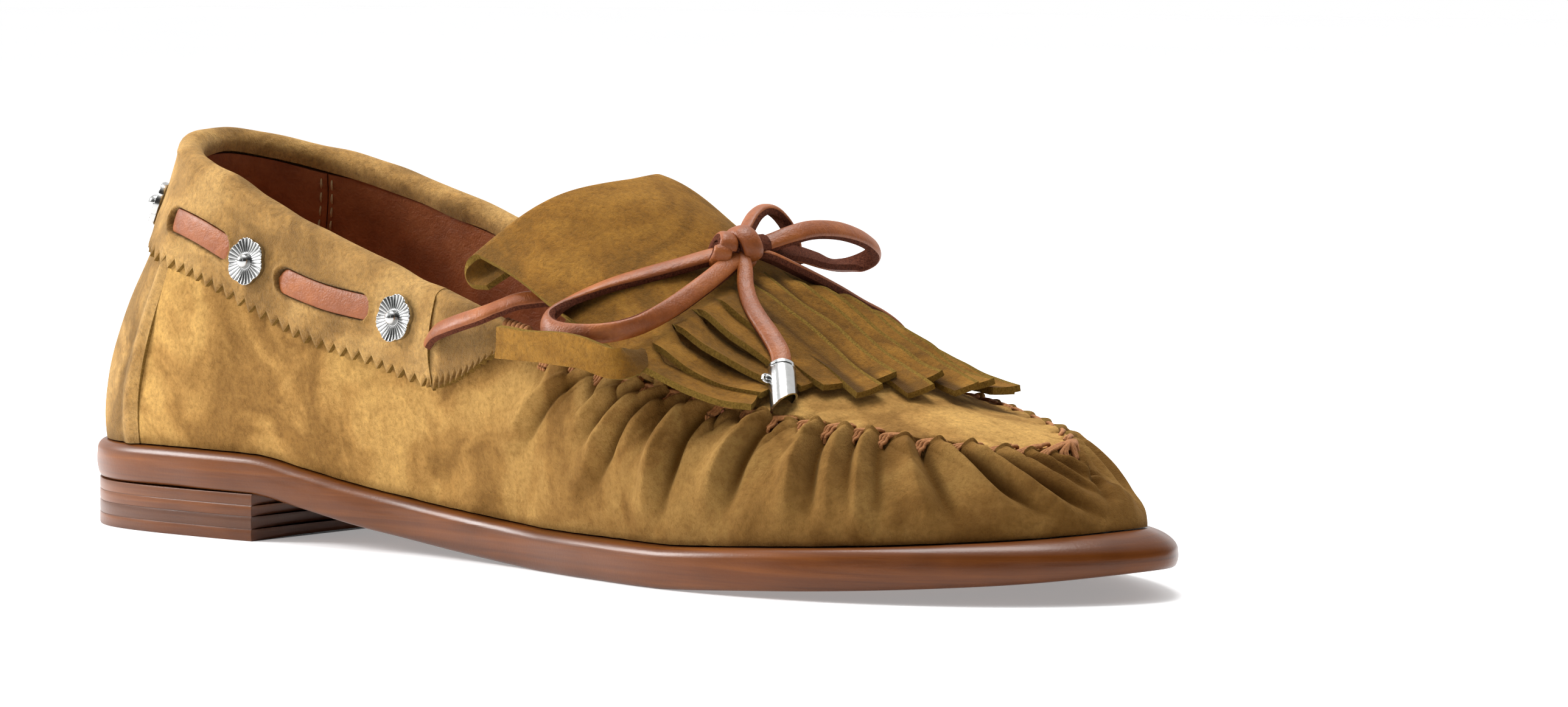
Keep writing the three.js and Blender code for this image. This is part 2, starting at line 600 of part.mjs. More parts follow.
// Strands fan out from the roots at q = 0 and come down to rest on the instep at q = 1.
function fringe(p, q, offset = 0) {
  const root = flap(p, 1);
  const reach = FRINGE_LENGTH * (1 - 0.72 * Math.abs(p) ** 1.5) + 6 * Math.sin(Math.PI * p);
  const x = root[0] + 0.4 + q * reach;
  const y = root[1] * lerp(1, 0.9 - 0.22 * (1 - Math.abs(p)), q);
  const rootLift = root[2] - instepHeight(root[0] + 0.4, root[1]);
  const lift = lerp(rootLift, FLAP_THICK + 1.1, 1 - Math.max(1 - q, 0) ** 1.7);
  return [x, y, instepHeight(x, y) + lift + offset];
}

function buildFringe() {
  const sheet = loft(range(18, -1, 1).map((p) => {
    const row = (offset) => range(6, 0, 1).map((q) => fringe(p, q, offset));
    return { outer: row(0), inner: row(-FLAP_THICK) };
  }));
  const slits = range(STRANDS - 2, -1 + 2 / STRANDS, 1 - 2 / STRANDS).map((p) => {
    const half = 0.012;
    return loft(range(5, 0.1, 1.06).map((q) => ({
      outer: [fringe(p - half, q, 3), fringe(p + half, q, 3)],
      inner: [fringe(p - half, q, -5), fringe(p + half, q, -5)],
    })));
  });
  piece('fringe', cutFrom(sheet, slits), 'kiltie_suede');
}

// ---------------------------------------------------------------- lace and bow
const CONCHO_PLACES = [1.1, 3.53, 5.06, -1.1, -3.53, -5.06];
const KNOT = [169.6, -3.4, 62.5];
const LOOPS = {
  lateral: [[166, -9.4, 61.2], [163, -15.8, 59.2], [159.6, -21.2, 57.6], [156.6, -26.8, 55.4], [153.8, -32.4, 52.8],
    [152.6, -37, 50.6], [153.4, -40.4, 48.8], [157, -42.4, 47.2], [162.4, -41.6, 46.6], [167.8, -39, 46.8],
    [171.2, -34.8, 48], [172.2, -27.4, 50.8], [171.8, -18.2, 55.2], [170.8, -9.8, 59.6]],
  medial: [[172, 4.8, 63.8], [173.8, 8, 64.6], [174.8, 13, 65], [175.2, 20, 64.4], [175, 27, 62.7], [173.8, 33, 60.4],
    [171, 36.4, 58.4], [168.4, 35.4, 57.6], [168.6, 30, 58.2], [170.2, 22, 59.6], [171.6, 13, 60.9], [171.6, 6.8, 62]],
};
const LOOP_WIDTHWISE = { lateral: [0.19, -0.43, 0.88], medial: [-0.2, 0.12, 0.97] };
const TAILS = {
  lateral: [[174.2, -5.2, 60.2], [175.4, -9.2, 58], [177.4, -12.8, 55.3], [181.4, -15.6, 52.2], [186, -18.2, 48.7],
    [190.2, -20.4, 45.6], [192.6, -22.8, 42.8]],
  medial: [[174.6, 3.6, 60.2], [176, 12, 57.4], [176, 20, 54.6], [176.2, 27, 51.6], [176, 33, 48.8], [175.8, 38, 45.2],
    [175.6, 40.8, 41.2], [175.6, 41.4, 38.4]],
};
const TAIL_WIDTHWISE = { lateral: [0.8, 0.6, 0], medial: [1, 0, 0] };
const ARCH = [[168.6, 15, 60.4], [168.2, 14.8, 62.6], [167.6, 13.4, 65.6], [167, 10.8, 68], [166.8, 7.8, 69], [167, 4.8, 68.6],
  [167.6, 2.2, 67.4]];

function buildLace() {
  // The part that runs inside the collar, coming up to the surface at each window.
  const bandPlaces = range(80, -BAND_END - 0.1, BAND_END + 0.1);
  const rise = (place) => Math.max(...ALL_WINDOWS.map(([from, to]) => THREE.MathUtils.smoothstep(place, from + 0.06, from + 0.34)
    * (1 - THREE.MathUtils.smoothstep(place, to - 0.34, to - 0.06))));
  const lace = loft(bandPlaces.map((place) => {
    const drop = along(LACE_DROP, topAt(place)[0]);
    const lift = lerp(-1.0, 1.3, rise(place));
    const row = (offset) => [1, -1].map((side) => upper(place, below(place, drop + side * BAND_LACE_WIDTH / 2), offset));
    return { outer: row(lift), inner: row(lift - 1.35) };
  }));
  piece('lace_band', lace, 'lace');

  const lateralRun = [[117, -33.9, 44], [123, -36.2, 46.4], [131, -37, 47.8], [140, -35, 47.8], [148, -28.4, 49.5],
    [155, -20.6, 53], [160, -13, 56]];
  piece('lace_lateral', strap(lateralRun, [0, 0.6, 0.8]), 'lace');
  const medialRun = lateralRun.map(([x, y, z]) => [x, -y, z + 0.4]);
  piece('lace_medial', strap(medialRun, [0, -0.6, 0.8]), 'lace');
  piece('lace_arch', strap(ARCH, [0.9, -0.4, 0], 10), 'lace');

  const knot = new THREE.SphereGeometry(1, 12, 8);
  knot.scale(3.4, 5.2, 3.1);
  knot.translate(...KNOT);
  piece('lace_knot', cutFrom(knot, []), 'lace');

  Object.entries(LOOPS).forEach(([side, points]) => {
    piece(`lace_loop_${side}`, strap(points, LOOP_WIDTHWISE[side], 28), 'lace');
  });

  Object.entries(TAILS).forEach(([side, points]) => {
    piece(`lace_tail_${side}`, strap(points, TAIL_WIDTHWISE[side], 14), 'lace');
    const end = points[points.length - 1];
    const direction = unit(minus(end, points[points.length - 2]));
    const start = add(end, direction, GAP);
    const outside = [[0, 0], [2.2, 0], [AGLET_RADIUS, 0.6], [AGLET_RADIUS, AGLET_LENGTH - 0.5], [2.3, AGLET_LENGTH], [0, AGLET_LENGTH]];
    piece(`aglet_${side}`, turned(outside, start, direction, 14), 'chrome');
    const across = unit(cross(direction, [0, 0, 1]));
    const pinStart = add(add(start, direction, 3.4), across, -(AGLET_RADIUS + GAP));
    piece(`aglet_pin_${side}`, turned([[0, 0], [0.8, 0], [0.8, 0.7], [0.5, 1.1], [0, 1.1]], pinStart, across.map((v) => -v), 10), 'chrome');
  });
}

// ---------------------------------------------------------------- conchos
function buildConchos() {
  CONCHO_PLACES.forEach((place, i) => {
    const v = laceV(place);
    const [at, normal] = [upper(place, v, BAND_OUT), upperNormal(place, v)];
    const profile = [[0, -1.9], [0.85, -1.9], [0.85, GAP], [CONCHO_RADIUS, GAP], [CONCHO_RADIUS, 0.9], [3.6, 1.35], [2.1, 1.5],
      [1.75, 2.3], [0.9, 2.9], [0, 3.05]];
    piece(`concho_${i + 1}`, turned(profile, at, normal, 14), 'chrome');
    const washer = [[1.2, -2.25], [2.6, -2.25], [2.6, -1.6], [1.2, -1.6], [1.2, -2.25]];
    piece(`concho_washer_${i + 1}`, turned(washer, at, normal, 8), 'steel');
  });
}

buildSole();
buildUpper();
buildInstep();
buildKiltie();
buildFringe();
buildLace();
buildConchos();

export default shoe;
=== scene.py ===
# A suede moccasin with a fringed kiltie, a leather bow, metal conchos and a gathered toe seam.
# Shapes are worked out in millimetres in the CAD's layout frame (X = 0 at the back of the heel,
# X towards the toe, Y towards the medial side) and moved into the row frame at the end.
import math

import bmesh
import bpy
import numpy as np
from mathutils import Matrix, Vector


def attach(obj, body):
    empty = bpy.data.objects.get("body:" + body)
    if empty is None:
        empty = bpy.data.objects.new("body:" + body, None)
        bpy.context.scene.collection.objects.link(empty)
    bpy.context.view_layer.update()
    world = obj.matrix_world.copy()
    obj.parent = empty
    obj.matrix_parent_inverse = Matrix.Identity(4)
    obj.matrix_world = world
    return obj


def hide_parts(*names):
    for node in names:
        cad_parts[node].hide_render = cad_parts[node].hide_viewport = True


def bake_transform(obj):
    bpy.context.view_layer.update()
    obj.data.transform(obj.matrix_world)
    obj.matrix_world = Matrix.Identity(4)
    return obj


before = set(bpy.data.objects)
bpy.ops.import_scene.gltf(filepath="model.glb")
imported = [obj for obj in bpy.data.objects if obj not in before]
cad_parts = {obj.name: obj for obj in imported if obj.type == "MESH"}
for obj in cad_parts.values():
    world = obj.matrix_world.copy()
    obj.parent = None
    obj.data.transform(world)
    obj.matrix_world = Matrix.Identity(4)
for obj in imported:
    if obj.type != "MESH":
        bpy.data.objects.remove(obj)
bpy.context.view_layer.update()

ORIGIN = np.array([134.25, -0.3, 0.0])  # the row frame's origin, in layout millimetres
MM = 0.001


def row(points):
    """Layout millimetres to row-frame metres."""
    return (np.asarray(points, float) - ORIGIN) * MM


# ------------------------------------------------------------------ camera
CAMERA_TURN, CAMERA_RISE = math.radians(40), math.radians(4)
CAMERA_AIM, CAMERA_DISTANCE = np.array([135, 0, 40]), 1200
FRAME_RIGHT, FRAME_DOWN = 33.2, 0.4  # how far the middle of the frame lies from the aim
FOCAL_LENGTH, SENSOR_WIDTH, FARTHEST_SEEN = 140, 36, 20
RIGHT = np.array([math.cos(CAMERA_TURN), math.sin(CAMERA_TURN), 0])
BACK = np.array([math.sin(CAMERA_TURN) * math.cos(CAMERA_RISE),
                 -math.cos(CAMERA_TURN) * math.cos(CAMERA_RISE), math.sin(CAMERA_RISE)])
UP = np.cross(BACK, RIGHT)
camera_data = bpy.data.cameras.new("camera")
camera_data.lens = FOCAL_LENGTH
camera_data.sensor_width = SENSOR_WIDTH
camera_data.clip_end = FARTHEST_SEEN
camera = bpy.data.objects.new("camera", camera_data)
bpy.context.collection.objects.link(camera)
camera_at = row(CAMERA_AIM + RIGHT * FRAME_RIGHT - UP * FRAME_DOWN + BACK * CAMERA_DISTANCE)
camera.matrix_world = Matrix(np.block([
    [np.stack([RIGHT, UP, BACK], 1), camera_at[:, None]], [np.zeros((1, 3)), np.ones((1, 1))]]).tolist())
bpy.context.scene.camera = camera

# ------------------------------------------------------------------ the shoe's driving shapes
# Both outlines have 28 points, and a place is counted in them: 0 at the heel, then along the
# lateral side to the toe at 14, and back along the medial side.
# the sole's edge, seen from above
EDGE = np.array([
    [0, 0], [5, -15.5], [20, -26.5], [45, -29.6], [75, -29.4], [105, -29.0], [135, -32.6],
    [160, -39.2], [185, -44.2], [208, -44.2], [228, -39.4], [244, -31.2], [257, -21], [265.5, -9.5],
    [268.5, 1.5], [264.5, 10.5], [256, 19.5], [243, 29.5], [227, 38], [207, 43.5], [183, 43.5],
    [158, 37.8], [133, 31], [103, 27.4], [73, 28.4], [44, 29.2], [19.5, 26.2], [5, 15.4]], float)
# the top line of the upper: the collar, then the toe seam
TOP = np.array([
    [24, 0, 79.2], [27, -11.4, 78], [36.5, -20.6, 75], [51, -25.2, 71.4], [76, -26.5, 61.8],
    [104, -28, 53.4], [130, -31, 46.2], [153, -32.5, 39.4], [176, -32, 35.6], [197, -28.5, 31.6],
    [215, -23.5, 29.6], [229, -17.5, 27.5], [238.5, -11, 26.2], [244.5, -3.8, 25.7],
    [246, 3, 25.8], [242.5, 9, 26.6], [235, 15.5, 27.6], [224, 21.5, 29], [210, 27, 31],
    [193, 30.5, 33.2], [174, 32, 36.4], [152, 32, 40.2], [129, 30.5, 47.8], [102, 27.5, 56.2],
    [74, 26.5, 65.2], [49, 25, 72.1], [35, 20.6, 75], [26.8, 11.6, 77.7]], float)
PLACES, TOE = 28, 14
# knots of X and a height or drop there
UNDERSIDE = [[0, 9.5], [62, 9.5], [76, 7.4], [90, 5], [105, 3.1], [120, 1.6], [137, 0.4],
             [152, -0.2], [168, -0.2], [184, 0], [205, 1.1], [225, 2.1], [242, 3.1], [256, 4.2], [270, 6]]
RIDGE = [[120, 68.5], [132, 66.2], [140, 64.2], [150, 61.4], [160, 57.6], [170, 53.4], [185, 46.4],
         [200, 39.8], [215, 34.4], [230, 30.2], [246, 26.6]]
LACE_DROP = [[0, 12.3], [27, 12.2], [38, 10.6], [62, 10.5], [84, 9.2], [104, 6.4], [116, 7.4]]
PINKED_DROP = [[0, 18.7], [80, 18.7], [96, 17.2], [140, 14.5]]
OUTSOLE_THICK, GAP, WELT_THICK = 4.5, 0.3, 3.0
WELT_TOP = OUTSOLE_THICK + GAP + WELT_THICK
SUEDE_THICK, FLAP_THICK = 1.3, 1.25
BAND_OUT, BAND_IN, ROLL_RADIUS, ROLL_INSIDE = 1.5, 0.3, 3.0, 1.8
HEEL_IN, HEEL_BREAST = 0.3, 3.61
BACK_STRIP_END, BAND_END, TAB_END, SEAM_START = 2.3, 5.42, 6.4, 6.75
RISE_START, RISE_END = 5.5, 6.3
SIDES = (("lateral", 1), ("medial", -1))
Z = np.array([0, 0, 1.0])


def lerp(a, b, t):
    return a + (b - a) * t


def smoothstep(x, a, b):
    """0 below a, 1 above b and a smooth rise between them."""
    t = np.clip((x - a) / (b - a), 0, 1)
    return t * t * (3 - 2 * t)


def unit(a):
    return a / np.maximum(np.linalg.norm(a, axis=-1, keepdims=True), 1e-12)


def col(a):
    """Adds a last axis, so that one number multiplies a whole point."""
    return np.asarray(a, float)[..., None]


def through(points, place, closed=False):
    """Catmull-Rom curve through points, at a place counted in points."""
    points, place = np.asarray(points, float), np.asarray(place, float)
    n = len(points)
    i = np.floor(place).astype(int)
    if not closed:
        i = np.clip(i, 0, n - 2)
    t = (place - i)[..., None]

    def at(k):
        return points[np.mod(k, n)] if closed else points[np.clip(k, 0, n - 1)]
    a, b, c, d = at(i - 1), at(i), at(i + 1), at(i + 2)
    return b + 0.5 * t * (c - a + t * (2 * a - 5 * b + 4 * c - d + t * (3 * (b - c) + d - a)))


def along(knots, x):
    """Smooth value at x between [x, value] knots."""
    xs, ys = np.asarray(knots, float).T
    n = len(xs)
    x = np.clip(np.asarray(x, float), xs[0], xs[-1])
    i = np.clip(np.searchsorted(xs, x, "right") - 1, 0, n - 2)
    low, high = np.maximum(np.arange(n) - 1, 0), np.minimum(np.arange(n) + 1, n - 1)
    slope = (ys[high] - ys[low]) / (xs[high] - xs[low])
    width = xs[i + 1] - xs[i]
    t = (x - xs[i]) / width
    return (lerp(ys[i], ys[i + 1], t * t * (3 - 2 * t))
            + t * (1 - t) * width * (slope[i] * (1 - t) - slope[i + 1] * t))


def side_place(place):
    """The place on the lateral side that mirrors a medial one."""
    return TOE - np.abs(TOE - np.mod(place, PLACES))


def forward(place):
    """0 in the rear half and 1 in the front half of the shoe."""
    return smoothstep(side_place(place), 4.5, 8.5)


def near_toe(place):
    return smoothstep(side_place(place), 9.5, 13.5)


def near_heel(place):
    return 1 - smoothstep(side_place(place), 0.5, 3.2)


def top_at(place):
    return through(TOP, place, True)


def underside(x):
    return np.maximum(0, along(UNDERSIDE, x))


def feather_z(x):
    """Height of the welt's top, where the upper starts."""
    return underside(x) + OUTSOLE_THICK + GAP + WELT_THICK


def outward(place):
    """The level direction that leads out across the sole's edge."""
    place = np.asarray(place, float)
    d = through(EDGE, place + 0.05, True) - through(EDGE, place - 0.05, True)
    return unit(np.stack([d[..., 1], -d[..., 0], 0 * d[..., 0]], -1))


def inset_edge(place, inset):
    """Points on the sole's edge, moved in by inset."""
    e = through(EDGE, place, True)
    return np.concatenate([e, 0 * e[..., :1]], -1) - outward(place) * col(inset)


def upper_point(place, v):
    """Outer surface of the upper: from the welt at v = 0 to the top line at v = 1."""
    place, v = np.broadcast_arrays(np.asarray(place, float), np.asarray(v, float))
    out, f, toe = outward(place), forward(place), near_toe(place)
    ends = np.maximum(near_heel(place), toe)
    base = inset_edge(place, lerp(2, 4.3, f) + 1.4 * toe)
    base[..., 2] = feather_z(base[..., 0]) + GAP
    top = top_at(place)
    height = top[..., 2] - base[..., 2]
    around = np.mod(place, PLACES)
    # the wall is slimmer round the medial side of the toe
    slim = smoothstep(around, 12.6, 14.6) * (1 - smoothstep(around, 17.5, 20))
    low = base + out * col(lerp(lerp(3, 2.6, f), lerp(3, 0, toe), ends)) + Z * col(height * 0.36)
    high = (top + out * col(lerp(lerp(3.4, 6.5, f), lerp(3, 7, toe), ends) * (1 - slim))
            - Z * col(height * lerp(0.34, 0.14, f)))
    t = v[..., None]
    return (1 - t) ** 3 * base + 3 * t * (1 - t) ** 2 * low + 3 * t * t * (1 - t) * high + t ** 3 * top


def upper_normal(place, v):
    place, v = np.broadcast_arrays(np.asarray(place, float), np.asarray(v, float))
    lengthwise = upper_point(place + 0.05, v) - upper_point(place - 0.05, v)
    upwards = upper_point(place, np.minimum(v + 0.02, 1)) - upper_point(place, np.maximum(v - 0.02, 0))
    return unit(np.cross(lengthwise, upwards))


def upper(place, v, offset=0.0):
    return upper_point(place, v) + upper_normal(place, v) * col(offset)


def below(place, drop):
    """The v at which the upper is the given distance below its top line."""
    place = np.asarray(place, float)
    wanted = top_at(place)[..., 2] - drop
    low, high = np.zeros_like(wanted), np.ones_like(wanted)
    for _ in range(24):
        middle = (low + high) / 2
        under = upper_point(place, middle)[..., 2] < wanted
        low, high = np.where(under, middle, low), np.where(under, high, middle)
    return (low + high) / 2


def lace_v(place):
    return below(place, along(LACE_DROP, top_at(place)[..., 0]))


def instep(place, across, offset=0.0):
    """The surface inside the toe seam; across runs -1 (lateral) to 1 (medial)."""
    place, across = np.broadcast_arrays(np.asarray(place, float), np.asarray(across, float))

    def surface(p, a):
        left, right = top_at(p), top_at(PLACES - p)
        point = left + (right - left) * col((a + 1) / 2)
        ridge = along(RIDGE, (left[..., 0] + right[..., 0]) / 2) - (left[..., 2] + right[..., 2]) / 2
        point[..., 2] += np.maximum(ridge, 0.6) * (1 - np.abs(a) ** lerp(1.6, 2, near_toe(p)))
        return point
    lengthwise = surface(place + 0.05, across) - surface(place - 0.05, across)
    crosswise = surface(place, across + 0.02) - surface(place, across - 0.02)
    return surface(place, across) + unit(np.cross(lengthwise, crosswise)) * col(offset)


# ------------------------------------------------------------------ meshes
def waves(seed, lengths, count=10):
    """A smooth random height over 3-D points in mm, about -1 to 1, with waves of about those lengths."""
    own = np.random.default_rng(seed)
    ways = unit(own.normal(size=(count, 3))) * (2 * math.pi / own.uniform(*lengths, size=(count, 1)))
    phases = own.uniform(0, 2 * math.pi, count)

    def height(points):
        return np.sin(points @ ways.T + phases).sum(-1) / math.sqrt(count)
    return height


def new_piece(name, points, faces, materials, slot, body="shoe", replaces=(), shade=45, ride=True):
    """A mesh from points in layout millimetres, with its body and its CAD nodes; its slot is not used."""
    mesh = bpy.data.meshes.new(name)
    mesh.from_pydata(row(points).tolist(), [], [tuple(int(i) for i in f) for f in faces])
    mesh.validate()
    obj = bpy.data.objects.new(name, mesh)
    bpy.context.collection.objects.link(obj)
    for m in materials:
        mesh.materials.append(m)
    smooth(obj, shade)
    if ride:
        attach(obj, body)
    if replaces:
        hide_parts(*replaces)
    return obj


def smooth(obj, angle):
    """Shades smooth, apart from edges sharper than the angle in degrees."""
    obj.data.shade_smooth()
    obj.data.set_sharp_from_angle(angle=math.radians(angle))


def quads(nu, nv, close_v=False, start=0):
    """Faces of a grid whose points run nv at a time."""
    i, j = np.meshgrid(np.arange(nu - 1), np.arange(nv if close_v else nv - 1), indexing="ij")
    a, b = i * nv + j, (i + 1) * nv + j
    c, d = (i + 1) * nv + (j + 1) % nv, i * nv + (j + 1) % nv
    return start + np.stack([a, b, c, d], -1).reshape(-1, 4)


def tube_faces(rows, sides):
    """Faces of a tube of rings of points, with a flat cap on each end."""
    faces = [tuple(f) for f in quads(rows, sides, close_v=True)]
    return faces + [tuple(range(sides)), tuple(range(rows * sides - 1, (rows - 1) * sides - 1, -1))]


def face_outwards(obj, shade):
    """Turns every face outwards and smooths again."""
    bm = bmesh.new()
    bm.from_mesh(obj.data)
    bmesh.ops.recalc_face_normals(bm, faces=bm.faces)
    bm.to_mesh(obj.data)
    bm.free()
    smooth(obj, shade)


def shade_points(obj, values):
    """How far each point lies in a valley, from 0 to 1, for the material to darken: painted shade on the leather,
    and also a heel lift's stain and a concho's engraved lines.
    """
    attribute = obj.data.attributes.new("valley", "FLOAT", "POINT")
    attribute.data.foreach_set("value", np.clip(values, 0, 1).astype(np.float32))


def shade_shell(obj, valley, inside=1):
    """The same for a shell, whose inner points take that share of the outer ones' value."""
    shade_points(obj, np.concatenate([valley.ravel(), inside * valley.ravel()]))


RIM_MATERIAL = 1


def with_rows(grid, rows):
    """The grid with more rows of points after its last one."""
    return np.concatenate([grid, np.stack(rows, 1)], 1)


def shell(name, outer, inner, materials, slot, **options):
    """Closed shell between two grids of points; its rims take the second material."""
    nu, nv = outer.shape[:2]
    n = nu * nv
    front, back = quads(nu, nv), quads(nu, nv, start=n)[:, ::-1]
    rims = []
    for j in (0, nv - 1):
        i = np.arange(nu - 1)
        a, b = i * nv + j, (i + 1) * nv + j
        rims.append(np.stack([a, a + n, b + n, b], -1) if j == 0 else np.stack([a, b, b + n, a + n], -1))
    for i in (0, nu - 1):
        j = np.arange(nv - 1)
        a, b = i * nv + j, i * nv + j + 1
        rims.append(np.stack([a, b, b + n, a + n], -1) if i == 0 else np.stack([a, a + n, b + n, b], -1))
    faces = np.concatenate([front, back] + rims)
    points = np.concatenate([outer.reshape(-1, 3), inner.reshape(-1, 3)])
    obj = new_piece(name, points, faces, materials, slot, **options)
    if len(materials) > 1:
        numbers = np.zeros(len(faces), np.int32)
        numbers[len(front) * 2:] = RIM_MATERIAL
        obj.data.polygons.foreach_set("material_index", numbers)
    face_outwards(obj, options.get("shade", 45))
    return obj


def path_frames(points, side):
    """Side and up directions along a path; side is one direction or one for each point."""
    tangent = unit(np.gradient(points, axis=0))
    side = np.broadcast_to(np.asarray(side, float), points.shape)
    up = unit(np.cross(side, tangent))
    return unit(np.cross(tangent, up)), up


def tube_parts(points, radius, sides=10, side=(0.13, 0.29, 0.95), taper=None):
    """Points and faces of a round tube with closed ends."""
    points = np.asarray(points, float)
    across, up = path_frames(points, side)
    angle = np.linspace(0, 2 * math.pi, sides, endpoint=False)
    size = radius * (np.ones(len(points)) if taper is None else np.asarray(taper, float))
    ring = (points[:, None] + across[:, None] * (np.cos(angle)[:, None] * size[:, None, None])
            + up[:, None] * (np.sin(angle)[:, None] * size[:, None, None]))
    return ring.reshape(-1, 3), tube_faces(len(points), sides)


def join_parts(parts):
    points, faces, start = [], [], 0
    for p, f in parts:
        points.append(p)
        faces += [tuple(int(i) + start for i in face) for face in f]
        start += len(p)
    return np.concatenate(points), faces


def strap_parts(points, side, width, thick, crown=0.5, flat=False, widths=None):
    """A flat leather lace, round on its outer side with square edges: points, faces and which are raw."""
    points = np.asarray(points, float)
    across, up = path_frames(points, side)
    turn = np.linspace(math.pi, 0, 13)
    top = np.stack([np.cos(turn), 0.25 + 0.75 * np.sin(turn) ** (0.9 if not flat else 0.4)], -1)
    bottom = np.array([[1, -0.45], [0.94, -0.75], [0.45, -0.72 - 0.1 * crown], [0, -0.7 - 0.2 * crown],
                       [-0.45, -0.72 - 0.1 * crown], [-0.94, -0.75], [-1, -0.45]])
    section = np.concatenate([top, bottom])
    size = np.ones(len(points)) if widths is None else np.asarray(widths, float)
    ring = (points[:, None] + across[:, None] * (section[:, 0][:, None] * size[:, None, None] * width / 2)
            + up[:, None] * (section[:, 1][:, None] * thick / 2))
    n, m = len(points), len(section)
    raw = [int(k % m >= len(top) - 1) for k in range((n - 1) * m)] + [1, 1]
    return ring.reshape(-1, 3), tube_faces(n, m), raw


LACE_SHADE = 50


def lace_piece(name, points, faces, raw, replaces, body="shoe"):
    obj = new_piece(name, points, faces, [LACE, LACE_RAW], "lace", body=body, replaces=replaces, shade=LACE_SHADE)
    obj.data.polygons.foreach_set("material_index", np.array(raw, np.int32))
    face_outwards(obj, LACE_SHADE)
    return obj


def strap(name, points, side, width, thick, replaces, body="shoe", **options):
    return lace_piece(name, *strap_parts(points, side, width, thick, **options), replaces, body)


def dense(points, step=0.5):
    """The smooth path through points, about step mm apart."""
    fine = through(points, np.linspace(0, len(points) - 1, 60 * len(points)))
    run = np.concatenate([[0], np.cumsum(np.linalg.norm(np.diff(fine, axis=0), axis=1))])
    count = max(int(run[-1] / step), 8)
    wanted = np.linspace(0, run[-1], count)
    return np.stack([np.interp(wanted, run, fine[:, k]) for k in range(3)], 1)


def length_of(points):
    """Length of a path in millimetres."""
    return float(np.linalg.norm(np.diff(points, axis=0), axis=1).sum())


# ------------------------------------------------------------------ materials
def set_inputs(node, **values):
    """Sets a node's sockets; an underscore stands for a space in a socket's name."""
    for name, value in values.items():
        node.inputs[name.replace("_", " ")].default_value = value


class Recipe:
    """A material built from nodes, in the object's own coordinates."""
    def __init__(self, name):
        self.material = bpy.data.materials.new(name)
        self.material.use_nodes = True
        self.tree = self.material.node_tree
        self.shader = self.tree.nodes["Principled BSDF"]
        self.where = self.add("ShaderNodeTexCoord").outputs["Object"]

    def add(self, kind, **values):
        node = self.tree.nodes.new(kind)
        for key, value in values.items():
            if hasattr(node, key):
                setattr(node, key, value)
            else:
                node.inputs[key].default_value = value
        return node

    def link(self, a, b):
        self.tree.links.new(a, b)

    def noise(self, coordinates, scale, detail=3, roughness=0.6, distortion=0.0):
        node = self.add("ShaderNodeTexNoise", Scale=scale, Detail=detail, Roughness=roughness,
                        Distortion=distortion)
        self.link(coordinates, node.inputs["Vector"])
        return node.outputs["Fac"]

    def ramp(self, factor, stops):
        node = self.add("ShaderNodeValToRGB")
        elements = node.color_ramp.elements
        while len(elements) < len(stops):
            elements.new(0.5)
        for element, (at, color) in zip(elements, stops):
            element.position = at
            element.color = (*color, 1)
        self.link(factor, node.inputs["Fac"])
        return node.outputs["Color"]

    def mixed(self, a, b, factor, blend="MIX"):
        node = self.add("ShaderNodeMix", data_type="RGBA", blend_type=blend)
        for socket, value in ((6, a), (7, b), (0, factor)):
            if isinstance(value, (int, float)):
                node.inputs[socket].default_value = value
            elif isinstance(value, tuple):
                node.inputs[socket].default_value = (*value, 1)
            else:
                self.link(value, node.inputs[socket])
        return node.outputs[2]

    def valley(self):
        """How far each point lies in a valley: painted shade on the leather, and also a heel lift's stain and a
        concho's engraved lines.
        """
        return self.add("ShaderNodeAttribute", attribute_name="valley").outputs["Fac"]

    def rough_between(self, pattern, low, high):
        """Roughness that follows a pattern from low to high."""
        rough = self.add("ShaderNodeMapRange")
        set_inputs(rough, To_Min=low, To_Max=high)
        self.link(pattern, rough.inputs["Value"])
        self.link(rough.outputs["Result"], self.shader.inputs["Roughness"])

    def bumped(self, *heights):
        """Stacks bumps, each (height socket, distance in metres, strength)."""
        normal = None
        for height, distance, strength in heights:
            bump = self.add("ShaderNodeBump", Distance=distance, Strength=strength)
            self.link(height, bump.inputs["Height"])
            if normal is not None:
                self.link(normal, bump.inputs["Normal"])
            normal = bump.outputs["Normal"]
        self.link(normal, self.shader.inputs["Normal"])


def suede(name, dark, middle, light, sheen=(0.95, 0.8, 0.5), fluff=0.35, fine=1.0):
    """Napped suede: brushed patches, a mottled middle scale and a fine fibrous grain, with painted shade where the
    valley attribute says.
    """
    m = Recipe(name)
    patches = m.noise(m.where, 48, 3, 0.55, 1.0)
    mottle = m.noise(m.where, 190, 4, 0.6, 0.8)
    nap = m.noise(m.where, 1050, 6, 0.8, 0.3)
    fibre = m.noise(m.where, 3600, 3, 0.6)
    base = m.ramp(patches, [(0.39, dark), (0.49, middle), (0.61, light)])
    blotch = m.ramp(mottle, [(0.34, (0.8, 0.77, 0.72)), (0.5, (1, 1, 1)), (0.68, (1.12, 1.12, 1.1))])
    grain = m.ramp(nap, [(0.34, (0.55, 0.5, 0.43)), (0.5, (1, 1, 1)), (0.66, (1.34, 1.33, 1.3))])
    color = m.mixed(base, blotch, 0.8, "MULTIPLY")
    color = m.mixed(color, grain, 0.75 * fine, "MULTIPLY")
    # painted shade: the valley attribute darkens folds, grooves, recesses and the forepart towards the toe
    valley = m.valley()
    color = m.mixed(color, (0.34 * dark[0], 0.26 * dark[1], 0.06 * dark[2]), valley)
    m.link(color, m.shader.inputs["Base Color"])
    set_inputs(m.shader, Roughness=0.96, Specular_IOR_Level=0.12, Sheen_Weight=fluff, Sheen_Roughness=0.45,
               Sheen_Tint=(*sheen, 1))
    m.bumped((mottle, 0.001, 0.4), (nap, 0.0006, 0.9 * fine), (fibre, 0.00025, 0.7))
    return m.material


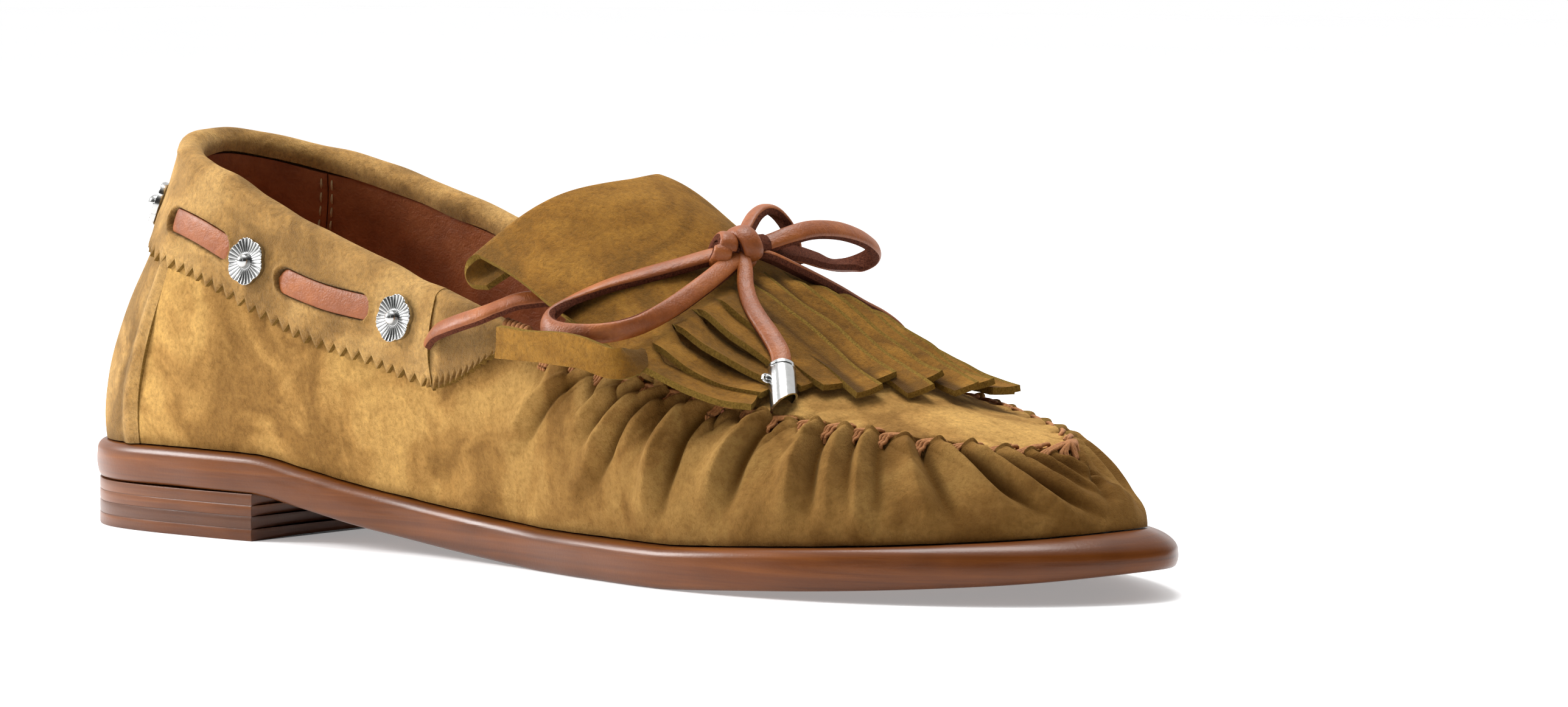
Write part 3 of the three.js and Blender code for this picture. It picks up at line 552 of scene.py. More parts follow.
def raw_edge(name, dark, light):
    """The cut edge of suede: tight fibres in layers."""
    m = Recipe(name)
    fibre = m.noise(m.where, 2600, 4, 0.7)
    m.link(m.ramp(fibre, [(0.3, dark), (0.7, light)]), m.shader.inputs["Base Color"])
    set_inputs(m.shader, Roughness=1.0, Specular_IOR_Level=0.1)
    m.bumped((fibre, 0.0005, 0.9))
    return m.material


def smooth_leather(name, dark, middle, light, roughness, grain=0.4, coat=0.0, creases=0.4, shine=0.35):
    """Finished leather: soft tone changes, fine pores and creases across."""
    m = Recipe(name)
    tone = m.noise(m.where, 90, 3, 0.55, 0.6)
    crease = m.noise(m.where, 500, 5, 0.7, 1.2)
    pores = m.add("ShaderNodeTexVoronoi", Scale=2300)
    m.link(m.where, pores.inputs["Vector"])
    base = m.ramp(tone, [(0.3, dark), (0.52, middle), (0.72, light)])
    shade = m.ramp(crease, [(0.3, (0.8, 0.78, 0.76)), (0.6, (1.06, 1.06, 1.06))])
    m.link(m.mixed(base, shade, 0.8, "MULTIPLY"), m.shader.inputs["Base Color"])
    m.rough_between(crease, roughness - 0.07, roughness + 0.1)
    set_inputs(m.shader, Specular_IOR_Level=shine, Coat_Weight=coat, Coat_Roughness=0.22)
    m.bumped((crease, 0.0006, creases), (pores.outputs["Distance"], 0.00012, grain))
    return m.material


def burnished_sole(name, dark, middle, light):
    """Edge of a leather sole: burnished and waxed, with streaks that run along its layers, and painted shade where
    the valley attribute says.
    """
    m = Recipe(name)
    stretch = m.add("ShaderNodeMapping")
    stretch.inputs["Scale"].default_value = (14, 14, 420)
    m.link(m.where, stretch.inputs["Vector"])
    streak = m.noise(stretch.outputs["Vector"], 1.0, 5, 0.62, 0.5)
    cloud = m.noise(m.where, 38, 3, 0.6, 0.5)
    speck = m.noise(m.where, 1700, 3, 0.6)
    base = m.ramp(streak, [(0.28, dark), (0.5, middle), (0.74, light)])
    shade = m.ramp(cloud, [(0.3, (0.78, 0.75, 0.72)), (0.62, (1.1, 1.08, 1.06))])
    color = m.mixed(base, shade, 0.9, "MULTIPLY")
    # painted shade at the edge's foot, under the upper and in the grooves between heel lifts; on the heel lifts it
    # also carries their stain
    band = m.valley()
    color = m.mixed(color, (0.05, 0.024, 0.016), band)
    m.link(color, m.shader.inputs["Base Color"])
    m.rough_between(cloud, 0.24, 0.46)
    set_inputs(m.shader, Coat_Weight=0.1, Coat_Roughness=0.2, Specular_IOR_Level=0.25)
    m.bumped((streak, 0.0004, 0.22), (speck, 0.0001, 0.3))
    return m.material


def bright_metal(name, color, roughness, engraved=False):
    """Plated metal with faint wear; where it is engraved, the valleys are dark."""
    m = Recipe(name)
    wear = m.noise(m.where, 700, 4, 0.6)
    base = m.ramp(wear, [(0.3, tuple(0.9 * c for c in color)), (0.7, color)])
    if engraved:
        groove = m.valley()
        base = m.mixed(base, tuple(0.1 * c for c in color), groove)
    m.link(base, m.shader.inputs["Base Color"])
    m.shader.inputs["Metallic"].default_value = 1.0
    m.rough_between(wear, roughness, roughness + 0.1)
    m.bumped((wear, 0.0002, 0.12))
    return m.material


def fibrous(name, dark, light, scale, roughness=0.9, depth=0.0004):
    """Thread, board, cork, felt and foam: a two-tone fibrous or granular stuff."""
    m = Recipe(name)
    grain = m.noise(m.where, scale, 5, 0.7, 0.4)
    m.link(m.ramp(grain, [(0.32, dark), (0.66, light)]), m.shader.inputs["Base Color"])
    m.shader.inputs["Roughness"].default_value = roughness
    m.bumped((grain, depth, 0.7))
    return m.material


SUEDE = suede("suede", (0.27, 0.135, 0.032), (0.43, 0.228, 0.062), (0.55, 0.315, 0.1))
VAMP_SUEDE = suede("vamp_suede", (0.275, 0.138, 0.036), (0.435, 0.233, 0.066), (0.57, 0.33, 0.1),
                   sheen=(0.95, 0.6, 0.18), fluff=0.16, fine=0.85)
KILTIE = suede("kiltie_suede", (0.18, 0.077, 0.009), (0.262, 0.112, 0.013), (0.335, 0.155, 0.022),
               sheen=(0.95, 0.7, 0.32), fluff=0.25)
SUEDE_RAW = raw_edge("suede_raw_edge", (0.14, 0.075, 0.014), (0.34, 0.2, 0.05))
KILTIE_RAW = raw_edge("kiltie_raw_edge", (0.12, 0.066, 0.011), (0.3, 0.18, 0.035))
LACE = smooth_leather("lace_leather", (0.2, 0.05, 0.008), (0.275, 0.073, 0.013), (0.35, 0.106, 0.022), 0.45,
                      creases=0.3, coat=0.05)
LACE_RAW = raw_edge("lace_raw_edge", (0.035, 0.01, 0.006), (0.19, 0.058, 0.03))
LINING = smooth_leather("lining_leather", (0.25, 0.072, 0.022), (0.33, 0.1, 0.031), (0.41, 0.138, 0.046), 0.5)
SOLE = burnished_sole("sole_leather", (0.078, 0.02, 0.003), (0.128, 0.035, 0.004), (0.19, 0.056, 0.007))
CHROME = bright_metal("bright_plating", (0.55, 0.55, 0.54), 0.16)
ENGRAVED = bright_metal("engraved_plating", (0.5, 0.5, 0.49), 0.14, engraved=True)
STEEL = bright_metal("plain_steel", (0.55, 0.56, 0.57), 0.35)
THREAD = fibrous("waxed_thread", (0.29, 0.105, 0.026), (0.52, 0.215, 0.062), 2600, 0.75)
PALE_THREAD = fibrous("pale_thread", (0.45, 0.3, 0.14), (0.75, 0.56, 0.3), 2600, 0.7)
BOARD = fibrous("fibre_board", (0.3, 0.22, 0.13), (0.46, 0.36, 0.23), 900)
CORK = fibrous("pressed_cork", (0.25, 0.14, 0.07), (0.55, 0.36, 0.2), 500)
FELT = fibrous("stiffened_felt", (0.55, 0.5, 0.42), (0.75, 0.71, 0.62), 1500)
FOAM = fibrous("soft_foam", (0.7, 0.66, 0.52), (0.86, 0.82, 0.68), 2200)


# ------------------------------------------------------------------ free laces
LACE_WIDTH, LACE_THICK, LACE_STEP = 3.8, 2.3, 0.6
LOOPS = {
    "lateral": [[170.6, -7, 60.9], [168, -9.6, 60.2], [164.2, -15.6, 58.4], [160.2, -21, 56.7],
                [156.8, -26.8, 54.9], [154.2, -32.4, 52.7], [153, -37, 50.6], [153.6, -40.4, 48.8],
                [157, -42.4, 47.3], [162.4, -41.8, 46.8], [167.8, -39.2, 47.1], [171.4, -34.8, 48.4],
                [172.6, -27.4, 51], [172.8, -18.4, 54.8], [172.4, -10.6, 58.2], [171.6, -6.4, 60]],
    "medial": [[170, 1.5, 61.6], [172, 4.8, 62.8], [173.8, 8, 64], [174.8, 13, 64.8], [175.2, 20, 64.4],
               [175, 26.6, 62.9], [174.2, 31.4, 61.1], [172.9, 34.2, 59.8], [170.9, 35.6, 58.3],
               [168.9, 34.4, 57.1], [168.1, 31.6, 56.8], [168.3, 27.6, 57], [169.8, 20.6, 58.3],
               [171.1, 13, 59.8], [171.2, 6.8, 60.4], [170.4, 2, 60.6]],
}
TAILS = {
    "lateral": [[172.2, -5, 60.4], [173.4, -6.2, 59.4], [175, -7.6, 57.6], [177, -9.8, 55], [180, -12.2, 52.2],
                [184, -14.6, 49.6], [188.6, -16.4, 46.4], [192.6, -18.2, 43.2], [194.9, -20.4, 40.4]],
    "medial": [[171.2, 0.4, 60.4], [172.6, 1.8, 60], [173.8, 4, 59], [174.8, 12, 55.8], [174.6, 20, 52.8],
               [174.6, 27, 49.8], [174.6, 33.6, 47.2], [175, 38.2, 44.4], [175.4, 40.8, 41], [175.6, 41.4, 38.4]],
}
# which way the smooth face looks, along each loop
LOOP_FACES = {
    "lateral": [[0.25, -0.5, 0.8], [0.2, -0.5, 0.85], [0.05, -0.5, 0.85], [-0.3, -0.4, 0.85], [-0.85, -0.25, 0.5],
                [-0.4, -0.9, 0.1], [0.35, -0.85, -0.25], [0.55, -0.8, 0.15], [0.6, -0.7, 0.4], [0.5, -0.6, 0.6]],
    "medial": [[0.5, -0.3, 0.8], [0.7, -0.1, 0.65], [0.75, 0, 0.6], [0.7, 0.3, 0.6], [0.5, 0.8, 0.2],
               [-0.2, 0.9, -0.5], [-0.6, 0.2, -0.75], [-0.6, 0, -0.75], [-0.5, -0.2, -0.8]],
}
TAIL_SIDE = {"lateral": [-0.8, -0.6, -0.1], "medial": [1, 0, 0]}
AGLET_LENGTH, AGLET_RADIUS, AGLET_BORE, AGLET_SLANT = 11.5, 2.6, 2.2, 1.9
LONG_SIDE, SEAM_SIDE = math.radians(70), math.radians(35)  # where the tube is longest, and where its seam runs
TUCKED_IN, RIVET_DOWN = 0.6, 3.6


def faced(path, faces):
    """The side direction at each point of a lace whose smooth face turns through those directions."""
    tangent = unit(np.gradient(path, axis=0))
    faces = np.array(faces, float)
    face = through(faces, np.linspace(0, len(faces) - 1, len(path)))
    return unit(np.cross(tangent, face))


def make_aglet(side, path):
    """Bright tube round the lace's end, its far end cut at a slant, with a small rivet."""
    axis = unit(path[-1] - path[-6])
    toward = BACK - axis * np.dot(BACK, axis)
    u = unit(toward)
    w = np.cross(axis, u)
    start = path[-1] - axis * TUCKED_IN
    angle = np.linspace(0, 2 * math.pi, 49)[:-1]
    reach = AGLET_LENGTH - AGLET_SLANT + AGLET_SLANT * np.cos(angle - LONG_SIDE)
    ring = np.cos(angle)[:, None] * u + np.sin(angle)[:, None] * w
    seam = 1 - 0.04 * np.exp(-((np.mod(angle - SEAM_SIDE + math.pi, 2 * math.pi) - math.pi) / 0.1) ** 2)
    profile = [(0, AGLET_BORE), (0, AGLET_RADIUS - 0.2), (0.25, AGLET_RADIUS), (0.9, AGLET_RADIUS + 0.02),
               (1.1, AGLET_RADIUS - 0.12), (1.4, AGLET_RADIUS)]
    rows = [start + axis * z + ring * (radius * seam)[:, None] for z, radius in profile]
    for share in np.linspace(0.2, 1, 9):
        z = lerp(1.4, reach, share)
        swell = AGLET_RADIUS * (1 + 0.03 * share)
        rows.append(start + axis * z[:, None] + ring * (swell * seam)[:, None])
    rows.append(start + axis * (reach + 0.05)[:, None] + ring * AGLET_BORE * 1.03)
    rows.append(start + axis * (reach * 0.55)[:, None] + ring * AGLET_BORE)
    rows.append(start + axis * 3.0 + ring * AGLET_BORE)
    body = f"tail_{side}"
    tube = new_piece(f"lace_tip_{side}", np.concatenate(rows), tube_faces(len(rows), len(angle)), [CHROME],
                     "chrome", body=body, replaces=[f"aglet_{side}"])
    face_outwards(tube, 30)
    out = unit(u * math.cos(LONG_SIDE) + w * math.sin(LONG_SIDE))
    pin_at = start + axis * RIVET_DOWN + out * (AGLET_RADIUS - 0.3)
    stem = np.array([pin_at, pin_at + out * 0.5, pin_at + out * 0.9, pin_at + out * 1.15, pin_at + out * 1.25])
    turn = np.linspace(0, 2 * math.pi, 25)
    loop = pin_at + out * 0.7 + axis * 0.1 + (np.cos(turn)[:, None] * axis + np.sin(turn)[:, None] * out) * 0.95
    points, faces = join_parts([tube_parts(stem, 0.85, 16, side=axis, taper=[0.8, 0.8, 1, 0.8, 0.3]),
                                tube_parts(loop, 0.28, 8, side=np.cross(axis, out))])
    pin = new_piece(f"lace_tip_rivet_{side}", points, faces, [CHROME], "chrome", body=body,
                    replaces=[f"aglet_pin_{side}"], shade=40)
    return tube, pin


def make_free_laces():
    for side, points in LOOPS.items():
        path = dense(points, LACE_STEP)
        loop = strap(f"bow_loop_{side}", path, faced(path, LOOP_FACES[side]), LACE_WIDTH, LACE_THICK,
                     [f"lace_loop_{side}"], f"loop_{side}")
    for side, points in TAILS.items():
        path = dense(points, LACE_STEP)
        widths = np.clip(0.78 + 0.25 * np.linspace(0, 1, len(path)), 0, 1)
        widths[-3:] *= 0.95  # pinched in the tip's mouth
        tail = strap(f"bow_end_{side}", path, TAIL_SIDE[side], LACE_WIDTH, LACE_THICK, [f"lace_tail_{side}"],
                     f"tail_{side}", widths=widths)
        tip = make_aglet(side, path)


make_free_laces()


# ------------------------------------------------------------------ knot, arch and the laces that run to them
def make_front_laces():
    lateral = [[115.4, -32, 43], [120, -35, 45.1], [125.5, -36.2, 46.8], [132, -35.6, 48.8], [135.6, -33.7, 50.4],
               [139.4, -31.6, 51.8], [147, -26, 52.6], [155, -20, 53.2], [160, -13, 56], [166, -6, 58.6]]
    for side, sign in SIDES:
        path = dense([[x, sign * y, z + (0 if sign > 0 else 0.4)] for x, y, z in lateral])
        strap(f"lace_run_{side}", path, faced(path, [[-0.2, -0.75 * sign, 0.65]] * 2), LACE_WIDTH, LACE_THICK,
              [f"lace_{side}"])
    arch = [[168.9, 15.4, 57.8], [168.6, 15, 60.4], [168.2, 14.8, 62.6], [167.6, 13.4, 65.6], [167, 10.8, 68],
            [166.8, 7.8, 68.6], [167, 4.8, 67.6], [167.8, 1.8, 65.6], [168.8, -0.8, 63.4]]
    strap("lace_crossing", dense(arch), [-0.9, 0.4, 0], LACE_WIDTH, LACE_THICK, ["lace_arch"])

    def wrap(middle, axis, start, turn, radii, width, drift):
        """A turn of lace round an axis, its ends tucked in."""
        middle, axis = np.array(middle, float), unit(np.array(axis, float))
        u = unit(np.cross(axis, Z))
        w = np.cross(axis, u)
        steps = 64
        angle = np.linspace(math.radians(start), math.radians(start + turn), steps)
        tuck = 1 - 0.3 * (1 - np.sin(np.linspace(0, math.pi, steps)) ** 0.35)
        path = (middle + u * col(np.cos(angle) * radii[0] * tuck) + w * col(np.sin(angle) * radii[1] * tuck)
                + axis * col(np.linspace(-drift / 2, drift / 2, steps)))
        away = path - middle
        away -= axis * col(away @ axis)
        tangent = unit(np.gradient(path, axis=0))
        return strap_parts(path, np.cross(tangent, unit(away)), width, LACE_THICK + 0.3)
    parts = [wrap([171, -3.6, 61.6], [0.35, 0.95, 0.25], 60, 335, (3.5, 3.3), 4.2, 1.0),
             wrap([169.6, -8.2, 61.4], [0.55, 0.8, -0.35], 0, 330, (2.9, 2.7), 3.7, 0.8)]
    core = [[169, -9, 60.8], [169.8, -6, 61], [170.8, -3, 61.5], [171, 0, 61.8], [170.8, 2.4, 62]]
    plug = tube_parts(dense(core, 0.8), 2.3, 12)
    points, faces = join_parts([(p, f) for p, f, _ in parts] + [plug])
    raw = sum((r for _, _, r in parts), []) + [1] * len(plug[1])
    lace_piece("bow_knot", points, faces, raw, ["lace_knot"])


make_front_laces()


# ------------------------------------------------------------------ sole and heel
def caps(n, reverse=False):
    """Faces that close a ring of n points by joining each to its mirrored one."""
    faces = []
    for k in range(n // 2):
        a, b, c, d = k, (k + 1) % n, (n - k - 1) % n, (n - k) % n
        face = [i for j, i in enumerate((a, b, c, d)) if i not in (a, b, c, d)[:j]]
        if len(face) > 2:
            faces.append(face[::-1] if reverse else face)
    return faces


def leather_solid(name, rings, dark, replaces):
    """Sole leather from a bottom ring to a top ring, closed by caps; dark gives each ring's valley value, its
    painted shade and on the heel lifts also their stain.
    """
    m, n = len(rings), len(rings[0])
    faces = [tuple(f) for f in quads(m, n, close_v=True)]
    faces += caps(n) + [[i + (m - 1) * n for i in f] for f in caps(n, True)]
    obj = new_piece(name, np.concatenate(rings), faces, [SOLE], "sole_leather", replaces=replaces)
    shade_points(obj, np.repeat(dark, n))
    face_outwards(obj, 35)


def edge_ring(places, inset, height):
    """A ring round the shoe, in from the sole's edge and up from its underside."""
    ring = inset_edge(places, inset)
    ring[:, 2] = underside(ring[:, 0]) + height
    return ring


def make_sole():
    columns = 560
    places = np.arange(columns) * PLACES / columns
    toe = near_toe(places)
    flatter = lerp(1, 0.62, toe)  # the edge is thinner at the toe
    wobble = waves(3, (14, 40))
    # depth in from the edge, height over the underside, and the painted shade there, darkest where the edge turns
    # under towards the floor
    profile = [(7, 0.05, 0.1), (1.8, 0.0, 0.1), (0.9, 0.08, 0.35), (0.4, 0.45, 0.3), (0.12, 1.1, 0.1),
               (-0.08, 2.0, 0), (-0.2, 3.0, 0), (-0.2, 4.0, 0), (-0.15, 4.85, 0)]
    rings = []
    for inset, height, _ in profile:
        ring = edge_ring(places, inset, height * flatter)
        rings.append(ring + outward(places) * col(0.1 * wobble(ring)))
    dark = [d for *_, d in profile]
    # the welt's rounded rim, and its flat top under the upper
    rim_start = lerp(4.85 * flatter, 5.8, 1 - toe)
    for share in np.linspace(0.08, 1.0, 12):
        turn = share * math.pi / 2
        inset = lerp(-0.13, lerp(1.6, 5.2, toe), (1 - math.cos(turn)) ** 0.9)
        rings.append(edge_ring(places, inset, lerp(rim_start, WELT_TOP, lerp(math.sin(turn), share, 0.7 * toe))))
        dark.append(0)
    # the welt's flat top, under the upper, takes painted shade
    for inset in (6.5, 9):
        rings.append(edge_ring(places, inset, WELT_TOP))
        dark.append(0.5)
    leather_solid("sole_and_welt", rings, dark, ["outsole", "welt"])


def make_heel():
    half = np.linspace(0.0, HEEL_BREAST, 90)
    # each layer's bottom and top, and how dark it is stained
    layers = [("top_piece", 0.0, 2.4, 0.0), ("lift_1", 2.42, 4.95, 0.5), ("lift_2", 4.97, 7.2, 0.05),
              ("lift_3", 7.22, 9.49, 0.22)]
    wobble = waves(5, (10, 30))
    for name, low, high, dark in layers:
        rings, shades = [], []
        # each ring's inset, share of the layer's height and painted shade, darker at the rims in the grooves
        # between lifts
        for inset, share, d in ((4, 0, 0), (0.12, 0.0, 0.3), (0.04, 0.08, 0.1), (0.0, 0.3, 0), (-0.03, 0.55, 0),
                                (0.0, 0.9, 0), (0.08, 1.0, 0.3), (4, 1.0, 0.3)):
            side = inset_edge(-half[::-1], inset + HEEL_IN)
            other = inset_edge(half, inset + HEEL_IN)
            a, b = side[0], other[-1]
            t = np.linspace(0, 1, 42)[1:-1, None]
            face = b + (a - b) * t
            face[:, 0] -= 2.6 * np.sin(math.pi * t[:, 0]) + max(inset, 0)
            ring = np.concatenate([side[:-1], other, face])
            ring[:, 2] = lerp(low, high, share)
            ring[:, :2] += (0.06 * wobble(ring))[:, None]
            rings.append(ring)
            shades.append(max(d, dark))
        # order the ring from the middle of the back round so that each point faces its mirror
        back = len(half) - 1
        rings = [np.roll(r, -back, axis=0) for r in rings]
        leather_solid(f"stacked_{name}", rings, shades, [f"heel_{name}"])


make_sole()
make_heel()


def make_sock():
    """The liner the foot stands on, with a rounded edge."""
    half = np.linspace(0.08, TOE - 0.4, 160)
    inset = lerp(6.4, 9.4, forward(half)) + near_toe(half) - 0.6 + 1.5 * near_toe(half)
    rings = []
    for more, share in ((2.5, 0), (0.3, 0), (0, 0.35), (0.1, 0.75), (0.6, 1), (3, 1)):
        ring = np.concatenate([inset_edge(half, inset + more), inset_edge(PLACES - half, inset + more)[::-1]])
        ring[:, 2] = feather_z(ring[:, 0]) + lerp(2.2, 3.4, share)
        ring[:, 2] += 0.25 * (share == 1) * waves(9, (18, 45))(ring)
        rings.append(ring)
    m, n = len(rings), len(rings[0])
    faces = [tuple(f) for f in quads(m, n, close_v=True)]
    ends = [[k, k + 1, n - k - 2, n - k - 1] for k in range(n // 2 - 1)]
    faces += ends + [[i + (m - 1) * n for i in f[::-1]] for f in ends]
    obj = new_piece("sock", np.concatenate(rings), faces, [LINING], "lining", replaces=["sock_liner"])
    face_outwards(obj, 40)


make_sock()

# ------------------------------------------------------------------ upper
STITCHES = [6.73, 7.0, 7.31, 7.57, 7.82, 8.07, 8.31, 8.57, 8.84, 9.14, 9.43, 9.74, 10.06, 10.39, 10.87, 11.35,
            11.91, 12.44, 13.01, 13.6]
ALL_STITCHES = np.array(STITCHES + [14.15, 14.7] + [PLACES - s for s in STITCHES[:-1][::-1]])
# each pleat: its place at the seam, its place where it dies out, how far down it goes and how strong it is
PLEATS = [(7.12, 6.0, .3, .8), (7.7, 6.9, .45, .8), (8.0, 6.8, .15, 1), (8.2, 7.5, .4, .7), (8.45, 7.6, .05, 1.3),
          (9.05, 8.3, .1, 1.2), (9.6, 9.2, .1, 1.2), (9.92, 9.6, .05, .9), (10.2, 9.9, .02, .9),
          (10.65, 10.8, .05, .9), (11.1, 11.9, .15, 1.2), (11.6, 12.7, .1, 1.2), (12.2, 13.3, .2, .7),
          (12.7, 13.8, .2, .7), (13.3, 14.3, .2, .9)]
ALL_PLEATS = PLEATS + [(PLACES - a, PLACES - b, low, 0.85 * size) for a, b, low, size in PLEATS]


PLEAT_HEIGHT, FOLD_HEIGHT, DEEPEST = 2.3, 0.9, -2.0


def upper_edge(place):
    """The v at which the wrap and the back strip end: under the collar band, then at the toe seam."""
    covered = below(place, along(PINKED_DROP, top_at(place)[..., 0]) - 4)
    return lerp(covered, 1, smoothstep(side_place(place), RISE_START, RISE_END))


def between_stitches(place):
    """0 at a stitch and 1 halfway to the next one."""
    t = np.interp(place, ALL_STITCHES, np.arange(len(ALL_STITCHES)))
    return np.maximum(np.sin(math.pi * (t - np.floor(t))), 0) ** 0.4


def gathers(place, v):
    """Height of the pleats and of the puckers between stitches, and how deep in a valley a point lies, which is
    painted as shade.
    """
    spacing = np.linalg.norm(upper_point(place + 0.05, v) - upper_point(place - 0.05, v), axis=-1) / 0.1
    height, valley = np.zeros_like(v), np.zeros_like(v)
    for a, b, low, size in ALL_PLEATS:
        s = (1 - v) / (1 - low)
        d = (place - lerp(a, b, s)) * spacing * (1 if a < TOE else -1)
        width = lerp(1.35, 2.6, np.clip(s, 0, 1))
        w = np.where(d < 0, 1.35 * width, 0.8 * width)
        fade = 1 - smoothstep(s, 0.45, 1.05)
        crest = np.exp(-(d / w) ** 2)
        groove = np.exp(-((d - 1.9 * width) / (0.62 * width)) ** 2)
        height += PLEAT_HEIGHT * size * fade * (crest - 0.72 * groove)
        # painted shade in the groove beside each pleat
        valley += size * fade * groove * 0.9
    front = smoothstep(side_place(place), SEAM_START - 0.35, SEAM_START + 0.2)
    # each swelling between two stitches runs on down the side as a low fold, at the pleats' slant
    slant = lerp(-1.3, 1.3, smoothstep(side_place(place), 9.2, 11)) * (1 - v)
    fold = between_stitches(side_place(place) - slant)
    long_fade = smoothstep(v, 0.42, 0.88) * front
    height += FOLD_HEIGHT * long_fade * (fold - 0.6)
    # painted shade in the lows between the folds
    valley += 0.5 * long_fade * (1 - fold) ** 1.6
    lump = between_stitches(place)
    near = smoothstep(v, 0.7, 0.97) * front
    height *= 1 - 0.55 * smoothstep(v, 0.82, 0.98)
    toe_end = smoothstep(side_place(place), 12.2, 13.4)
    height += near * lerp(-1.5, 0.7, lump) * (1 - 0.45 * toe_end)
    height -= toe_end * smoothstep(v, 0.25, 0.6)
    height = np.maximum(height, DEEPEST)
    # painted shade in the notch at each stitch
    valley += near * (1 - lump) ** 1.5 * 0.9
    return height, valley


def make_wrap():
    overlap = 0.02  # under the back strip
    places = np.linspace(BACK_STRIP_END - overlap, PLACES - BACK_STRIP_END + overlap, 1100)
    v = np.linspace(0, 1, 84)[None] ** 0.85 * upper_edge(places)[:, None]
    place = np.broadcast_to(places[:, None], v.shape)
    height, valley = gathers(place, v)
    height *= smoothstep(v, 0.0, 0.12)
    soft = waves(11, (14, 34), 14)(upper_point(place, v))
    fine = waves(12, (4, 9), 16)(upper_point(place, v))
    back = 1 - smoothstep(side_place(place), 6.2, 7.4)
    offset = height + 0.42 * soft * lerp(0.6, 1.0, back) * smoothstep(v, 0, 0.2) + 0.09 * fine
    outer = upper(place, v, offset)
    inner = upper(place, v, np.minimum(offset, 0.6) - SUEDE_THICK)
    # the free edge stands up over the seam between the stitches and curls in
    lump = between_stitches(places)
    front = smoothstep(side_place(places), SEAM_START - 0.25, SEAM_START + 0.1)
    lip = front * lerp(0.5, 1.3, lump) * (1 - 0.4 * smoothstep(side_place(places), 12.2, 13.4))
    normal = upper_normal(places, 0.999 * np.ones_like(places))
    rises = [Z * col(lip * math.sin(t * math.pi / 2)) - normal * col(lip * 0.8 * (1 - math.cos(t * math.pi / 2)))
             for t in (0.3, 0.6, 0.85, 1.0)]
    outer = with_rows(outer, [outer[:, -1] + rise for rise in rises])
    inner = with_rows(inner, [inner[:, -1] + rise for rise in rises])
    obj = shell("gathered_wrap", outer, inner, [VAMP_SUEDE, SUEDE_RAW], "suede", replaces=["upper_wrap"], shade=60)
    # painted shade: the pleats' valleys carried up the curled lip, and darker where the wrap meets the welt
    valley = np.concatenate([valley, np.repeat(valley[:, -1:], len(rises), 1) * 0.6], 1)
    valley += 0.5 * (1 - smoothstep(np.concatenate([v, np.ones((len(v), len(rises)))], 1), 0.0, 0.05))
    # painted shade: the forepart darkens towards the toe, where less light falls on it
    valley = 1 - (1 - np.clip(valley, 0, 1)) * (1 - 0.6 * smoothstep(outer[..., 0], 60, 230))
    shade_shell(obj, valley)


make_wrap()


def make_back_strip():
    end = BACK_STRIP_END + 0.06
    places = np.linspace(-end, end, 110)
    v = np.linspace(0, 1, 60)[None] * upper_edge(places)[:, None]
    place = np.broadcast_to(places[:, None], v.shape)
    from_edge = end - np.abs(place)
    ridge = np.exp(-((from_edge - 0.13) / 0.09) ** 2)
    groove = np.exp(-((from_edge - 0.3) / 0.07) ** 2)
    soft = waves(13, (14, 30), 12)(upper_point(place, v))
    near_edge = 1 - smoothstep(from_edge, 0.1, 0.35)
    offset = 0.12 + 0.5 * near_edge + 0.55 * ridge - 0.25 * groove + 0.15 * soft * smoothstep(v, 0, 0.2)
    edge = smoothstep(from_edge, 0, 0.08)
    outer = upper(place, v, lerp(0.3, offset, edge))
    inner = upper(place, v, np.full(v.shape, -1.0))
    obj = shell("heel_strip", outer, inner, [SUEDE, SUEDE_RAW], "suede", replaces=["back_strip"], shade=60)
    # painted shade in the groove beside the edge's ridge and where the strip meets the welt
    shade_shell(obj, 0.35 * groove + 0.5 * (1 - smoothstep(v, 0, 0.05)), inside=0)


make_back_strip()

# ------------------------------------------------------------------ collar
WINDOWS = [(2.2, 3.3), (3.82, 4.75)]
ALL_WINDOWS = [(-0.88, 0.88)] + WINDOWS + [(-b, -a) for a, b in WINDOWS]
CONCHO_PLACES = [1.1, 3.53, 5.06, -1.1, -3.53, -5.06]
TOOTH_PITCH, TOOTH_DEPTH, RUFFLE_PITCH = 3.4, 2.2, 2.0
SLOT_RADIUS = 2.5  # of a window's rounded ends


def run_along(from_place, to_place, count=3000):
    """Places and the length in mm along the pinked edge up to each."""
    places = np.linspace(from_place, to_place, count)
    points = upper_point(places, below(places, along(PINKED_DROP, top_at(places)[:, 0])))
    return places, np.concatenate([[0], np.cumsum(np.linalg.norm(np.diff(points, axis=0), axis=1))])


def roll_over(place, radius, steps):
    """Rows of points that go on over the rolled top of the collar and down inside."""
    top, normal = upper_point(place, np.ones_like(place)), upper_normal(place, np.ones_like(place))
    upwards = unit(top - upper_point(place, 0.97 * np.ones_like(place)))
    centre = top + normal * (BAND_OUT - ROLL_RADIUS)
    rows = [centre + normal * col(radius * math.cos(a)) + upwards * col(radius * math.sin(a))
            for a in np.linspace(0, math.pi, steps)[1:]]
    rows.append(centre - normal * col(radius) - upwards * 0.8)
    rows.append(centre - normal * col(radius - 0.1) - upwards * 1.6)
    return rows


